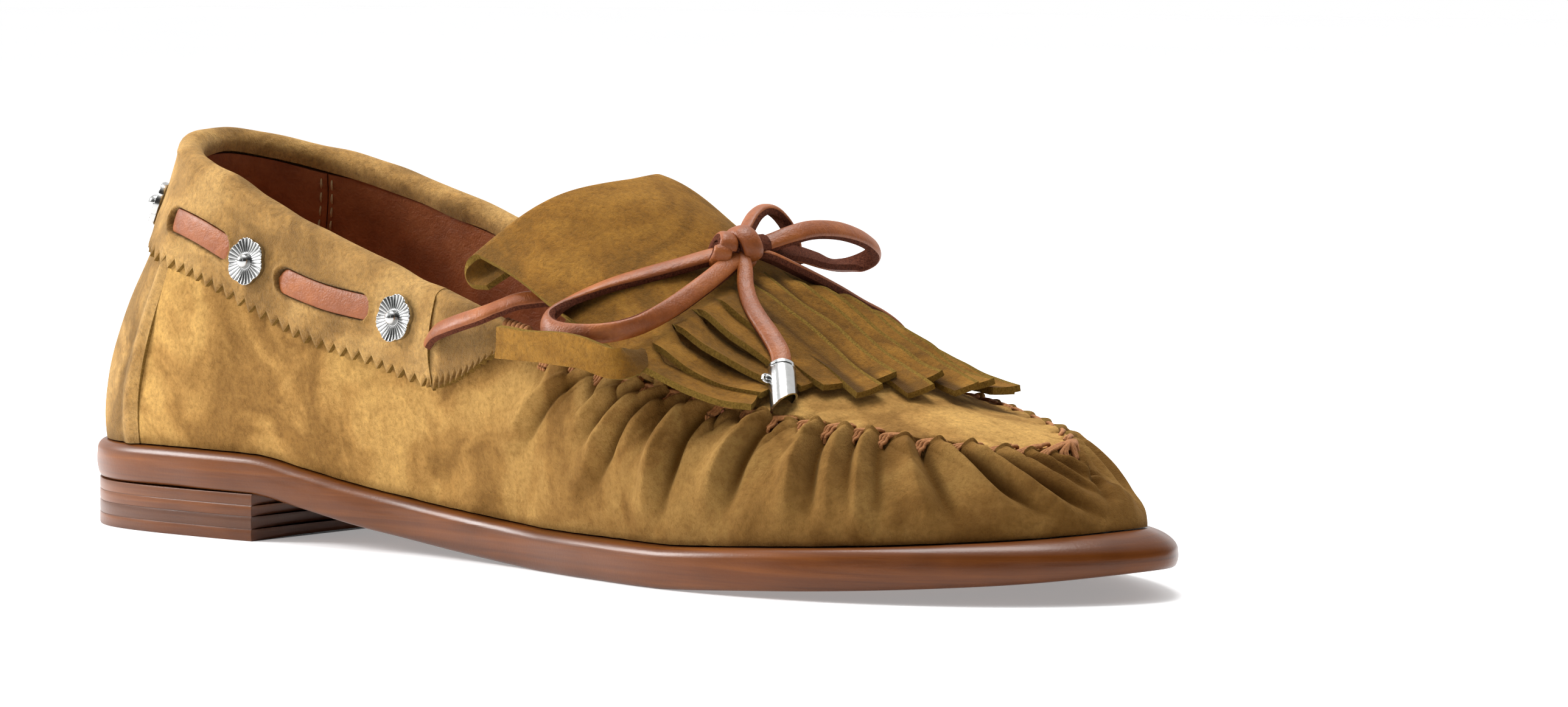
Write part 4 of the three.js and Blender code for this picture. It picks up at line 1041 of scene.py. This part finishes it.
def make_band():
    places, run = run_along(-BAND_END, BAND_END)
    teeth = int(round(run[-1] / TOOTH_PITCH))
    columns = teeth * 8 + 1  # eight for each tooth
    at = np.interp(np.linspace(0, run[-1], columns), run, places)
    phase = np.linspace(0, teeth, columns) % 1.0
    tooth = 1 - np.abs(2 * phase - 1)
    drop = along(PINKED_DROP, top_at(at)[:, 0]) - TOOTH_DEPTH / 2 + TOOTH_DEPTH * (1 - tooth)
    low = below(at, drop)
    share = np.linspace(0, 1, 56)
    v = low[:, None] + (1 - low[:, None]) * share[None]
    place = np.broadcast_to(at[:, None], v.shape)
    points = upper_point(place, v)
    depth = top_at(place)[..., 2] - points[..., 2]
    lace = along(LACE_DROP, top_at(place)[..., 0])
    spacing = np.linalg.norm(top_at(place + 0.05) - top_at(place - 0.05), axis=-1) / 0.1
    recess, rim = np.zeros_like(v), np.zeros_like(v)
    for a, b in ALL_WINDOWS:
        half_length = (b - a) / 2 * spacing
        dx = (place - (a + b) / 2) * spacing
        dz = depth - lace
        # distance outside a slot with rounded ends
        d = np.hypot(np.maximum(np.abs(dx) - (half_length - SLOT_RADIUS), 0), dz) - SLOT_RADIUS
        recess = np.maximum(recess, 1 - smoothstep(d, -0.35, 0.35))
        rim = np.maximum(rim, np.exp(-((d - 0.55) / 0.6) ** 2))
    soft = waves(15, (12, 30), 12)(points)
    lumpy = waves(16, (5, 11), 14)(points)
    edge_lift = smoothstep(share, 0.0, 0.05)[None]
    # a shallow dip runs along the lace's channel, with the roll of the collar full above it
    channel = np.exp(-((depth - lace) / 4.2) ** 2)
    offset = BAND_OUT * lerp(0.82, 1, edge_lift) + 0.2 * soft + 0.1 * lumpy + 0.35 * rim + 0.3 * channel
    offset = offset * (1 - recess) + 0.15 * recess
    outer = upper(place, v, offset)
    inner = upper(place, v, np.minimum(offset - 0.9, BAND_IN))
    puff = waves(17, (10, 26), 12)
    centre = upper_point(at, np.ones_like(at)) + upper_normal(at, np.ones_like(at)) * (BAND_OUT - ROLL_RADIUS)
    outer = with_rows(outer, [p + unit(p - centre) * col(0.22 * puff(p)) for p in roll_over(at, ROLL_RADIUS, 12)])
    inner = with_rows(inner, roll_over(at, ROLL_INSIDE, 12))
    obj = shell("pinked_collar", outer, inner, [SUEDE, SUEDE_RAW], "suede", replaces=["collar_band"], shade=55)
    # painted shade round each window's cut edge, in the recess under its lace and under the pinked teeth
    valley = np.zeros(outer.shape[:2])
    slot_edge_shade = recess * (1 - recess) * 4
    valley[:, :len(share)] = 0.75 * slot_edge_shade + 0.5 * recess + 0.25 * (1 - edge_lift)
    shade_shell(obj, valley, inside=0.6)


make_band()


def make_window_laces():
    for number, (a, b) in enumerate(ALL_WINDOWS):
        ends = (a + 0.01, b + 0.1) if a > 0 else (a - 0.1, b - 0.01) if b < 0 else (a - 0.1, b + 0.1)
        place = np.linspace(*ends, 70)
        t = np.linspace(0, 1, 70)
        lift = 0.85 + 0.2 * np.sin(math.pi * t) - 0.7 * (1 - smoothstep(t, 0, 0.12)) - 0.7 * smoothstep(t, 0.9, 1)
        path = upper(place, lace_v(place), lift)
        tangent = unit(np.gradient(path, axis=0))
        side = np.cross(tangent, upper_normal(place, lace_v(place)))
        run = np.minimum(t, 1 - t) * length_of(path)
        widths = np.sqrt(np.maximum(1 - (1 - np.minimum(run / SLOT_RADIUS, 1)) ** 2, 0.03))
        strap(f"collar_lace_{number + 1}", path, side, 2 * SLOT_RADIUS - 0.05, 1.9, ["lace_band"], widths=widths,
              flat=True, crown=0.2)


make_window_laces()


def make_eyestays():
    for side, sign in SIDES:
        places, run = run_along(BAND_END - 0.03, TAB_END + 0.02, 600)
        ruffles = int(round(run[-1] / RUFFLE_PITCH))
        columns = ruffles * 10 + 1  # ten for each ruffle
        at = np.interp(np.linspace(0, run[-1], columns), run, places)
        phase = np.linspace(0, ruffles, columns)
        wave = 0.5 + 0.5 * np.cos(2 * math.pi * phase)
        drop = along(PINKED_DROP, top_at(at)[:, 0]) - 0.5 + 1.1 * wave
        at_side = sign * at
        climb = 0.45 * (np.maximum(at - BAND_END, 0) / (TAB_END - BAND_END)) ** 1.35
        low = np.minimum(below(at_side, drop) + climb, 0.93 + 0.02 * wave)
        share = np.linspace(0, 1, 40)
        v = low[:, None] + (1 - low[:, None]) * share
        place = np.broadcast_to(at_side[:, None], v.shape)
        edge = 1 - smoothstep(share, 0.0, 0.16)[None]
        soft = waves(19, (9, 22), 12)(upper_point(place, v))
        offset = 1.15 + 0.2 * soft + edge * (1.1 * wave[:, None] - 0.3)
        outer = upper(place, v, offset)
        inner = upper(place, v, np.minimum(offset - 1.0, 0.25))
        outer = with_rows(outer, roll_over(at_side, ROLL_RADIUS, 10))
        inner = with_rows(inner, roll_over(at_side, ROLL_INSIDE, 10))
        obj = shell(f"front_facing_{side}", outer, inner, [SUEDE, SUEDE_RAW], "suede", replaces=[f"eyestay_{side}"],
                    shade=55)
        # painted shade in the troughs of the ruffled edge
        valley = np.zeros(outer.shape[:2])
        valley[:, :len(share)] = 0.5 * edge * (1 - wave[:, None])
        shade_shell(obj, valley)


make_eyestays()


# ------------------------------------------------------------------ linings
def make_linings():
    join = 2.15
    for name, node, low, high in (("heel_pocket_lining", "heel_lining", -join, join),
                                  ("body_lining", "vamp_lining", join + 0.02, PLACES - join - 0.02)):
        places = np.linspace(low, high, int(60 * (high - low)))
        side = side_place(places)
        roll = below(places, 2.0)
        top = lerp(roll, 0.93, smoothstep(side, TAB_END, SEAM_START))
        v = np.linspace(0.01, 1, 50)[None] * top[:, None]
        place = np.broadcast_to(places[:, None], v.shape)
        soft = waves(21, (16, 40), 12)(upper_point(place, v))
        fine = waves(22, (5, 10), 12)(upper_point(place, v))
        edge = np.minimum(smoothstep(place - low, 0, 0.05), smoothstep(high - place, 0, 0.05))
        inner = upper(place, v, -3.9 - 0.3 * soft - 0.05 * fine + 0.35 * (1 - edge))
        outer = upper(place, v, np.full(v.shape, -2.9))
        shell(name, outer, inner, [LINING], "lining", replaces=[node], shade=50)
    parts = []
    for sign in (1, -1):
        for offset in (-0.1, 0.1):
            for start in np.arange(0.16, 0.93, 0.05):
                v = np.linspace(start, start + 0.036, 7)
                place = np.full(7, sign * join + offset)
                lift = -3.95 - 0.28 * np.sin(np.linspace(0, math.pi, 7))
                parts.append(tube_parts(upper(place, v, lift), 0.24, 6, taper=[0.6, 0.9, 1, 1, 1, 0.9, 0.6]))
    points, faces = join_parts(parts)
    new_piece("lining_stitches", points, faces, [PALE_THREAD], "thread", shade=60)


make_linings()


def make_toe_stiffener():
    places, v = np.meshgrid(np.linspace(12.1, 15.9, 60), np.linspace(0.05, 0.72, 30), indexing="ij")
    soft = waves(25, (12, 30), 10)(upper_point(places, v))
    outer = upper(places, v, -2.45 + 0.04 * soft)
    inner = upper(places, v, np.full(v.shape, -2.85))
    shell("toe_stiffener", outer, inner, [FELT], "stiffener", replaces=["toe_puff"], shade=50)


make_toe_stiffener()


# ------------------------------------------------------------------ apron, seam stitches and tongue
def seam_reach(place, gap):
    """How far across the instep the apron reaches, when it stops gap mm inside the seam."""
    along2d = top_at(place + 0.05) - top_at(place - 0.05)
    slant = np.abs(along2d[..., 0]) / np.hypot(along2d[..., 0], along2d[..., 1])
    across = top_at(PLACES - place)[..., 1] - top_at(place)[..., 1]
    return np.maximum(1 - 2 * gap / across / np.maximum(slant, 0.05), 0.02)


def pucker(place, across):
    """Height of the apron's edge, which dips at each stitch and swells between them, and the painted shade in each
    dip.
    """
    at = np.where(across < 0, place, PLACES - place)
    lump = between_stitches(at)
    half = (top_at(PLACES - place)[..., 1] - top_at(place)[..., 1]) / 2
    inside = (seam_reach(place, 1.5) - np.abs(across)) * half
    near = np.exp(-(np.maximum(inside, 0) / 2.6) ** 2)
    return near * lerp(-0.9, 0.5, lump), near * (1 - lump) ** 1.5


def make_apron():
    places = np.linspace(SEAM_START - 0.1, TOE - 0.72, 320)
    reach = seam_reach(places, 1.4)
    share = np.sin(np.linspace(-1, 1, 91) * math.pi / 2)
    across = share[None] * reach[:, None]
    place = np.broadcast_to(places[:, None], across.shape)
    height, valley = pucker(place, across)
    base = instep(place, across)
    soft = waves(23, (16, 38), 14)(base)
    fine = waves(24, (5, 10), 14)(base)
    edge = smoothstep(1 - np.abs(share), 0, 0.012)[None]
    offset = 0.15 + height + 0.3 * soft + 0.07 * fine - 0.5 * (1 - edge)
    outer = instep(place, across, offset)
    inner = instep(place, across, offset - SUEDE_THICK)
    obj = shell("apron_top", outer, inner, [VAMP_SUEDE, SUEDE_RAW], "suede", replaces=["apron"], shade=60)
    # painted shade in the dips at the stitches
    shade_shell(obj, 0.7 * valley, inside=0)


make_apron()


THREAD_RADIUS, THREAD_SPACING, STITCH_LEAN = 0.38, 0.66, 2.6
COIL_RADIUS, COIL_TURNS = 0.55, 5.5


def make_stitches():
    """Whip stitches, three threads each: up out of the apron, over the seam and down into the wrap."""
    parts = []
    own = np.random.default_rng(31)
    for s in ALL_STITCHES:
        spacing = np.linalg.norm(top_at(s + 0.05) - top_at(s - 0.05)) / 0.1
        toeward = 1 if s < TOE else -1
        tip = np.exp(-((s - TOE) / 1.0) ** 2)
        shift = STITCH_LEAN * toeward / spacing * (1 - tip)
        for thread in (-1, 0, 1):
            step = thread * THREAD_SPACING / spacing
            at = s + step + own.normal(0, 0.06) / spacing
            inner = at + shift
            lateral = inner if inner < TOE else PLACES - inner
            sign = -1 if inner < TOE else 1
            dip = 2.5 + 0.3 * own.normal()
            start_lateral = np.clip(lateral, SEAM_START - 0.3, TOE - 0.62)
            reach = seam_reach(np.array(start_lateral), dip)
            begin = instep(start_lateral, sign * reach, -0.3)
            rise = instep(start_lateral, sign * min(1.0, reach + 0.06), 0.75)
            crest = upper(at, 1.0, -0.5) + Z * 1.0
            outside = upper(at - 0.25 * shift, 0.965, -0.25)
            down = upper(at - 0.5 * shift, 0.915, -0.35)
            hole = upper(at - 0.6 * shift, 0.885, -1.5)
            line = dense(np.array([begin, rise, crest, outside, down, hole]), 0.35)
            parts.append(tube_parts(line, THREAD_RADIUS, 8, side=(0.3, 0.2, 0.93)))
    # where the seam begins, the thread is wound in a short coil
    t = np.linspace(0, 1, 240)
    turns = 2 * math.pi * COIL_TURNS * t
    axis_line = np.array([136.6, -33.2, 46.4]) + np.outer(t, np.array([5.6, 0.2, -1.4]))
    coil = axis_line + np.stack([0 * turns, 1.15 * np.cos(turns), 1.5 * np.sin(turns)], 1)
    parts.append(tube_parts(coil, COIL_RADIUS, 8, side=(1, 0.1, 0.05)))
    points, faces = join_parts(parts)
    new_piece("seam_stitches", points, faces, [THREAD], "thread", replaces=["seam_cord"], shade=60)


make_stitches()


def make_tongue():
    reach = 0.34  # how far the tongue goes across the instep
    places, across = np.meshgrid(np.linspace(6.45, 7.32, 50), np.linspace(-reach, reach, 40), indexing="ij")
    soft = waves(27, (12, 26), 10)(instep(places, across))
    edge = smoothstep(reach - np.abs(across), 0, 0.03)
    outer = instep(places, across, 1.2 + 0.2 * soft - 0.4 * (1 - edge))
    inner = instep(places, across, 0.25)
    shell("tongue_leaf", outer, inner, [SUEDE, SUEDE_RAW], "suede", replaces=["tongue"], shade=55)


make_tongue()

# ------------------------------------------------------------------ kiltie and fringe, one leather
ROOT_END = 37.5  # half the flap's width where the strands begin
PER_STRAND = 8  # faces across each strand
FLAP_ROWS, FOLD_ROWS, LEG_ROWS = 33, 13, 4
FIRST_RAW = 6  # from this strand on the cut edge towards the lateral side shows


def arch(y, slope, round_):
    """A rounded gable: how far a sheet has dropped at y from its ridge."""
    return slope * (np.hypot(y, round_) - round_)


def flap(p, q):
    """The flap's surface: p runs -1 to 1 across it, and q 0 to 1 from its fold to the strands' roots."""
    y = p * lerp(31, ROOT_END, q)
    x = lerp(141.4 - 0.68 * arch(y, 1, 12), 172, q)
    ridge = lerp(74.6, 57.6, q) + 8 * q * (1 - q) ** 2
    shoulders = np.where(y < 0, arch(np.minimum(y + 3, 0), 2.3, 60), arch(np.maximum(y - 6, 0), 0.9, 25))
    drop = lerp(shoulders, arch(y - 2, 0.46, 9), q)
    return np.stack(np.broadcast_arrays(x, y, ridge - drop), -1)


# Each strand: where its root begins across the flap, its path, half its width, and its roll in degrees.
STRANDS = [
    (-37.5, [(174.6, -38.6, 44.2), (176.4, -42.2, 42.4), (173.6, -45, 41.9), (166.6, -46, 43.6),
             (158.6, -45.8, 44.2), (151.5, -45, 44.2), (143.6, -44, 44.4)], 2.9, 0),
    (-35.8, [(176.4, -36.7, 42), (183, -34.6, 38.8), (190, -31.6, 36.4), (196, -29.4, 35.4)], 3.2, -13),
    (-31, [(175.5, -30.8, 45.4), (182, -29.6, 41.4), (188, -27.2, 38.8), (195.5, -24.6, 37)], 3.2, -12),
    (-25.6, [(176, -24.8, 48.6), (182, -24.2, 44.8), (189, -22, 41.2), (197, -20, 38)], 3.3, -11),
    (-20, [(177, -18.8, 51), (184, -18.4, 46.8), (191.5, -17.4, 42.6), (200, -17.2, 38.2)], 3.3, -10),
    (-14.4, [(178, -13.2, 52), (186, -13, 47.4), (195, -13.6, 42.2), (204, -15, 38)], 3.2, -9),
    (-9, [(179, -8, 52.6), (188, -8.2, 47.6), (198, -9.6, 42), (209.6, -12.2, 37)], 2.9, -14),
    (-3.6, [(180, -2.8, 52.6), (190, -3.2, 47.4), (201, -5.2, 41.6), (208.4, -6.8, 38.8)], 2.9, -18),
    (2, [(181, 3, 52.4), (192, 1.6, 46.8), (204, -1, 41), (215.4, -4.2, 36.8)], 2.8, -18),
    (8, [(182, 9, 51.4), (194, 6.6, 45.6), (206.5, 3, 40.4), (213.4, 1.2, 38.8)], 2.8, -18),
    (14, [(182, 15.6, 50), (195, 12.2, 44.6), (208, 8, 39.8), (219.6, 4.4, 37)], 2.8, -17),
    (20.4, [(183, 21.8, 47.6), (196, 17.6, 43), (210, 12.6, 38.6), (218.4, 10.2, 37.4)], 2.8, -14),
    (27, [(183, 28.2, 44.6), (196, 24, 40.8), (210, 19, 37.4), (220.5, 15.5, 36.2)], 2.8, -6),
    (33, [(182, 34.2, 41.4), (193, 31.4, 38.4), (204, 27.6, 36), (212, 25.2, 35)], 2.5, 2),
]


def flap_grid(soft):
    """The leg folded under, the fold and the flap, as rows of points with the strands' roots last."""
    bounds = [s[0] for s in STRANDS] + [ROOT_END]
    root_y = np.concatenate([np.linspace(a, b, PER_STRAND + 1)[:-1] for a, b in zip(bounds[:-1], bounds[1:])]
                            + [[ROOT_END]])
    p = root_y / ROOT_END
    crest = flap(p, 0)
    bend = lerp(4.2, 3.5, p * p)
    leg = lerp(6, 3, p * p)
    rows = [crest + np.stack([share * leg, 0 * p, -2 * bend], 1) for share in np.linspace(1, 0, LEG_ROWS + 1)[:-1]]
    rows += [crest + np.stack([bend * math.cos(angle), 0 * p, bend * (math.sin(angle) - 1)], 1)
             for angle in np.linspace(-math.pi / 2, -1.5 * math.pi, FOLD_ROWS + 1)]
    rows += [flap(p, np.full_like(p, q)) for q in np.linspace(0, 1, FLAP_ROWS + 1)[1:]]
    grid = np.stack(rows)
    wave = soft(grid) * 0.45
    wave[:LEG_ROWS] *= 0.2
    grid[..., 2] += wave
    # the sheet sinks a little where the bow's knot draws it down
    pull = np.exp(-(((grid[..., 0] - 171) / 7) ** 2 + ((grid[..., 1] + 1) / 9) ** 2))
    grid[-FLAP_ROWS:, :, 2] -= 0.9 * pull[-FLAP_ROWS:]
    return grid


def make_kiltie():
    per = PER_STRAND
    soft = waves(33, (14, 32), 12)
    grid = flap_grid(soft)
    n_rows, n_cols = grid.shape[:2]
    points = [grid.reshape(-1, 3)]
    shades = [np.zeros(n_rows * n_cols)]
    faces = [tuple(f) for f in quads(n_rows, n_cols)]
    tally = n_rows * n_cols
    last = (n_rows - 1) * n_cols
    own = np.random.default_rng(41)
    raw = []
    for number, (_, path, half, roll) in enumerate(STRANDS):
        root = grid[-1, number * per: number * per + per + 1]
        middle = root[per // 2]
        line = dense(np.concatenate([[middle], np.array(path, float)]), 1.1)
        steps = len(line)
        run = np.linspace(0, length_of(line), steps)
        tangent = unit(np.gradient(line, axis=0))
        level = unit(np.cross(np.broadcast_to(Z, line.shape), tangent))
        if number == 0:
            # the strand that is folded back turns over, then hangs on edge
            keys = np.array([[0, 1, 0.1], [0.4, 0.7, -0.3], [0.75, 0.1, -0.65], [0.2, -0.1, -1], [0, 0, -1],
                             [0, 0.1, -1], [0, 0.1, -1]], float)
            spread = np.array([through(keys, t * (len(keys) - 1)) for t in np.linspace(0, 1, steps)])
            spread = unit(spread - tangent * col((spread * tangent).sum(-1)))
        else:
            turn = -math.radians(roll) * smoothstep(run, 0, 12) + 0.1 * np.sin(run / 6 + own.uniform(0, 6))
            up = np.cross(tangent, level)
            spread = level * col(np.cos(turn)) + up * col(np.sin(turn))
        normal = np.cross(tangent, spread)
        c = np.linspace(-1, 1, per + 1)
        wide = half * lerp(0.95, 1.0, smoothstep(run, 0, 10)) * (1 + 0.05 * np.sin(run / 3.1 + number))
        curl = 0.3 * smoothstep(run, 4, 16) * (0.6 + 0.4 * math.sin(2.3 * number))
        own_shape = (line[:, None] + spread[:, None] * (c[None] * wide[:, None])[..., None]
                     + normal[:, None] * (curl[:, None] * (c[None] ** 2 - 0.4))[..., None])
        carried = root[None] + (line - line[0])[:, None]
        w = smoothstep(run, 0.3, 7)[:, None, None]
        strand = lerp(carried, own_shape, w)
        strand[..., 2] += 0.12 * soft(strand * 2.2) * w[..., 0]
        # cut ends are a little slanted
        slant = own.uniform(-1.2, 1.2)
        strand[-1] += tangent[-1] * col(slant * c / 2)
        ids = np.concatenate([[last + number * per + np.arange(per + 1)],
                              tally + np.arange((steps - 1) * (per + 1)).reshape(steps - 1, per + 1)])
        points.append(strand[1:].reshape(-1, 3))
        # painted shade where the strand dips under its neighbour
        under = 0.75 * np.clip(c * 2.4 - 1.4, 0, 1) if number < FIRST_RAW else 0.95 * np.clip(-2.2 * c - 0.2, 0, 1)
        shade = under[None] * smoothstep(run, 0, 3)[:, None]
        # painted shadow behind the fold of the strand that is folded back
        if number == 0:
            shade = shade * 0 + 0.85 * (1 - smoothstep(run, 5, 11))[:, None]
        shades.append(shade[1:].ravel())
        tally += (steps - 1) * (per + 1)
        for i in range(steps - 1):
            for j in range(per):
                faces.append((ids[i, j], ids[i, j + 1], ids[i + 1, j + 1], ids[i + 1, j])[::-1])
                if number >= FIRST_RAW and j == per - 1:
                    raw.append(len(faces) - 1)
    obj = new_piece("kiltie_and_fringe", np.concatenate(points), faces, [KILTIE, KILTIE_RAW], "kiltie_suede",
                    ride=False, shade=50)
    shade_points(obj, np.concatenate(shades))
    cut = np.zeros(len(obj.data.polygons), np.int32)
    cut[raw] = 1
    obj.data.polygons.foreach_set("material_index", cut)
    face_outwards(obj, 50)
    on_the_flap = obj.data.polygons[(n_rows - 5) * (n_cols - 1) + 20]
    if on_the_flap.normal.z < 0:
        obj.data.flip_normals()
    solid = obj.modifiers.new("thickness", "SOLIDIFY")
    solid.thickness = FLAP_THICK * MM
    solid.offset = -1
    solid.use_even_offset = False
    solid.material_offset_rim = 1
    solid.use_rim = True
    bpy.context.view_layer.update()
    final = bpy.data.meshes.new_from_object(obj.evaluated_get(bpy.context.evaluated_depsgraph_get()))
    obj.modifiers.clear()
    obj.data = final
    smooth(obj, 50)
    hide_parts("kiltie_top", "fringe")
    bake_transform(obj)


make_kiltie()


# ------------------------------------------------------------------ conchos
PETALS, RAYS = 6, 30
RIM_RADIUS, PETAL_DEPTH = 4.3, 0.5
COLLET_RADIUS, BOSS_RADIUS, BOSS_FOOT, BOSS_RISE = 1.9, 1.42, 1.6, 1.25


def make_conchos():
    """Flowers with a dished, engraved face round a small dome."""
    angle = np.linspace(0, 2 * math.pi, 321)[:-1]
    ray = 0.5 + 0.5 * np.cos(RAYS * angle)
    for number, place in enumerate(CONCHO_PLACES):
        place = np.array(float(place))
        v = lace_v(place)
        at, normal = upper(place, v, BAND_OUT + 0.3), upper_normal(place, v)
        u = unit(np.cross(Z, normal))
        w = np.cross(normal, u)
        beat = np.abs(np.cos(PETALS / 2 * (angle + 0.4 * number))) ** 0.7
        rim = RIM_RADIUS + PETAL_DEPTH * beat
        # each ring's radius, height and how deep it lies in an engraved line
        rings = [(0.9 * rim, -0.4, 0), (0.99 * rim, 0, 0), (rim, 0.3, 0), (rim, 1.05, 0)]
        for share in np.linspace(0.96, 0, 15):
            dish = 1.0 + 0.3 * share ** 2
            height = dish - 0.1 * (1 - beat) * share - 0.2 * (1 - ray) * (0.35 + 0.65 * share)
            rings.append((lerp(COLLET_RADIUS, rim, share), height, 0.9 * (1 - ray) ** 1.5))
        rings += [(1.75, 1.0, 0.9), (1.55, 1.1, 0), (BOSS_RADIUS, BOSS_FOOT, 0)]
        for t in np.linspace(0, 1, 8)[1:-1] * math.pi / 2:
            rings.append((BOSS_RADIUS * math.cos(t), BOSS_FOOT + BOSS_RISE * math.sin(t), 0))
        rings.append((0.1, BOSS_FOOT + BOSS_RISE + 0.01, 0))
        points = [at + (np.cos(angle) * radius)[:, None] * u + (np.sin(angle) * radius)[:, None] * w
                  + normal * col(height * np.ones_like(angle)) for radius, height, _ in rings]
        obj = new_piece(f"flower_concho_{number + 1}", np.concatenate(points), tube_faces(len(rings), len(angle)),
                        [ENGRAVED], "chrome", replaces=[f"concho_{number + 1}"])
        face_outwards(obj, 24)
        shade_points(obj, np.concatenate([groove + 0 * angle for *_, groove in rings]))


make_conchos()

# ------------------------------------------------------------------ pieces kept from the CAD, all of them inside
INSIDE = {"heel_nail": STEEL, "cork_filler": CORK, "shank": STEEL, "insole_board": BOARD, "collar_foam": FOAM,
          "heel_counter": FELT, "apron_lining": LINING, "concho_washer": STEEL}
for name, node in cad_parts.items():
    if not node.hide_render:
        node.data.materials.clear()
        node.data.materials.append(next(material for kind, material in INSIDE.items() if name.startswith(kind)))


# ------------------------------------------------------------------ floor and lights
FLOOR = 6  # half its side, in metres
# each light's place, aim, sides and power
LIGHTS = {
    "overhead": ((-0.15, 0.1, 1.4), (0.02, 0, 0), (0.7, 0.7), 19),
    "heel_side": ((-1.2, -0.62, 0.7), (-0.1, 0, 0.04), (0.5, 0.5), 22),
    "front": ((0.5, -1.5, 0.7), (0.05, 0, 0.04), (0.2, 0.9), 0.8),
}


def make_studio():
    m = Recipe("pale_floor")
    tone = m.noise(m.where, 3, 2)
    m.link(m.ramp(tone, [(0.3, (0.86, 0.86, 0.865)), (0.7, (0.89, 0.89, 0.895))]), m.shader.inputs["Base Color"])
    set_inputs(m.shader, Roughness=0.6, Emission_Color=(1, 1, 1, 1), Emission_Strength=0.3)
    mesh = bpy.data.meshes.new("floor")
    corners = [(FLOOR * x, FLOOR * y, 0) for x, y in ((-1, -1), (1, -1), (1, 1), (-1, 1))]
    mesh.from_pydata(corners, [], [(0, 1, 2, 3)])
    floor = bpy.data.objects.new("floor", mesh)
    mesh.materials.append(m.material)
    bpy.context.collection.objects.link(floor)

    world = bpy.data.worlds.new("studio")
    world.use_nodes = True
    # a white room that is open and dark towards the front and the toe
    tree = world.node_tree
    way = tree.nodes.new("ShaderNodeTexCoord")
    dot = tree.nodes.new("ShaderNodeVectorMath")
    dot.operation = "DOT_PRODUCT"
    dot.inputs[1].default_value = unit(np.array([-0.75, 0.35, 0.9])).tolist()
    tree.links.new(way.outputs["Generated"], dot.inputs[0])
    shade = tree.nodes.new("ShaderNodeMapRange")
    shade.interpolation_type = "SMOOTHSTEP"
    set_inputs(shade, From_Min=-0.05, From_Max=0.55, To_Min=0.05, To_Max=1.0)
    tree.links.new(dot.outputs["Value"], shade.inputs["Value"])
    tree.links.new(shade.outputs["Result"], tree.nodes["Background"].inputs["Color"])
    tree.nodes["Background"].inputs["Strength"].default_value = 1.0
    bpy.context.scene.world = world

    for name, (at, aim, size, power) in LIGHTS.items():
        data = bpy.data.lights.new(name, "AREA")
        data.shape = "RECTANGLE"
        data.size, data.size_y = size
        data.energy = power
        lamp = bpy.data.objects.new(name, data)
        bpy.context.collection.objects.link(lamp)
        lamp.location = at
        lamp.rotation_euler = (Vector(aim) - Vector(at)).to_track_quat("-Z", "Y").to_euler()
    scene = bpy.context.scene
    scene.view_settings.view_transform = "Standard"
    scene.view_settings.look = "None"
    scene.view_settings.exposure = 0
    scene.view_settings.gamma = 1


make_studio()
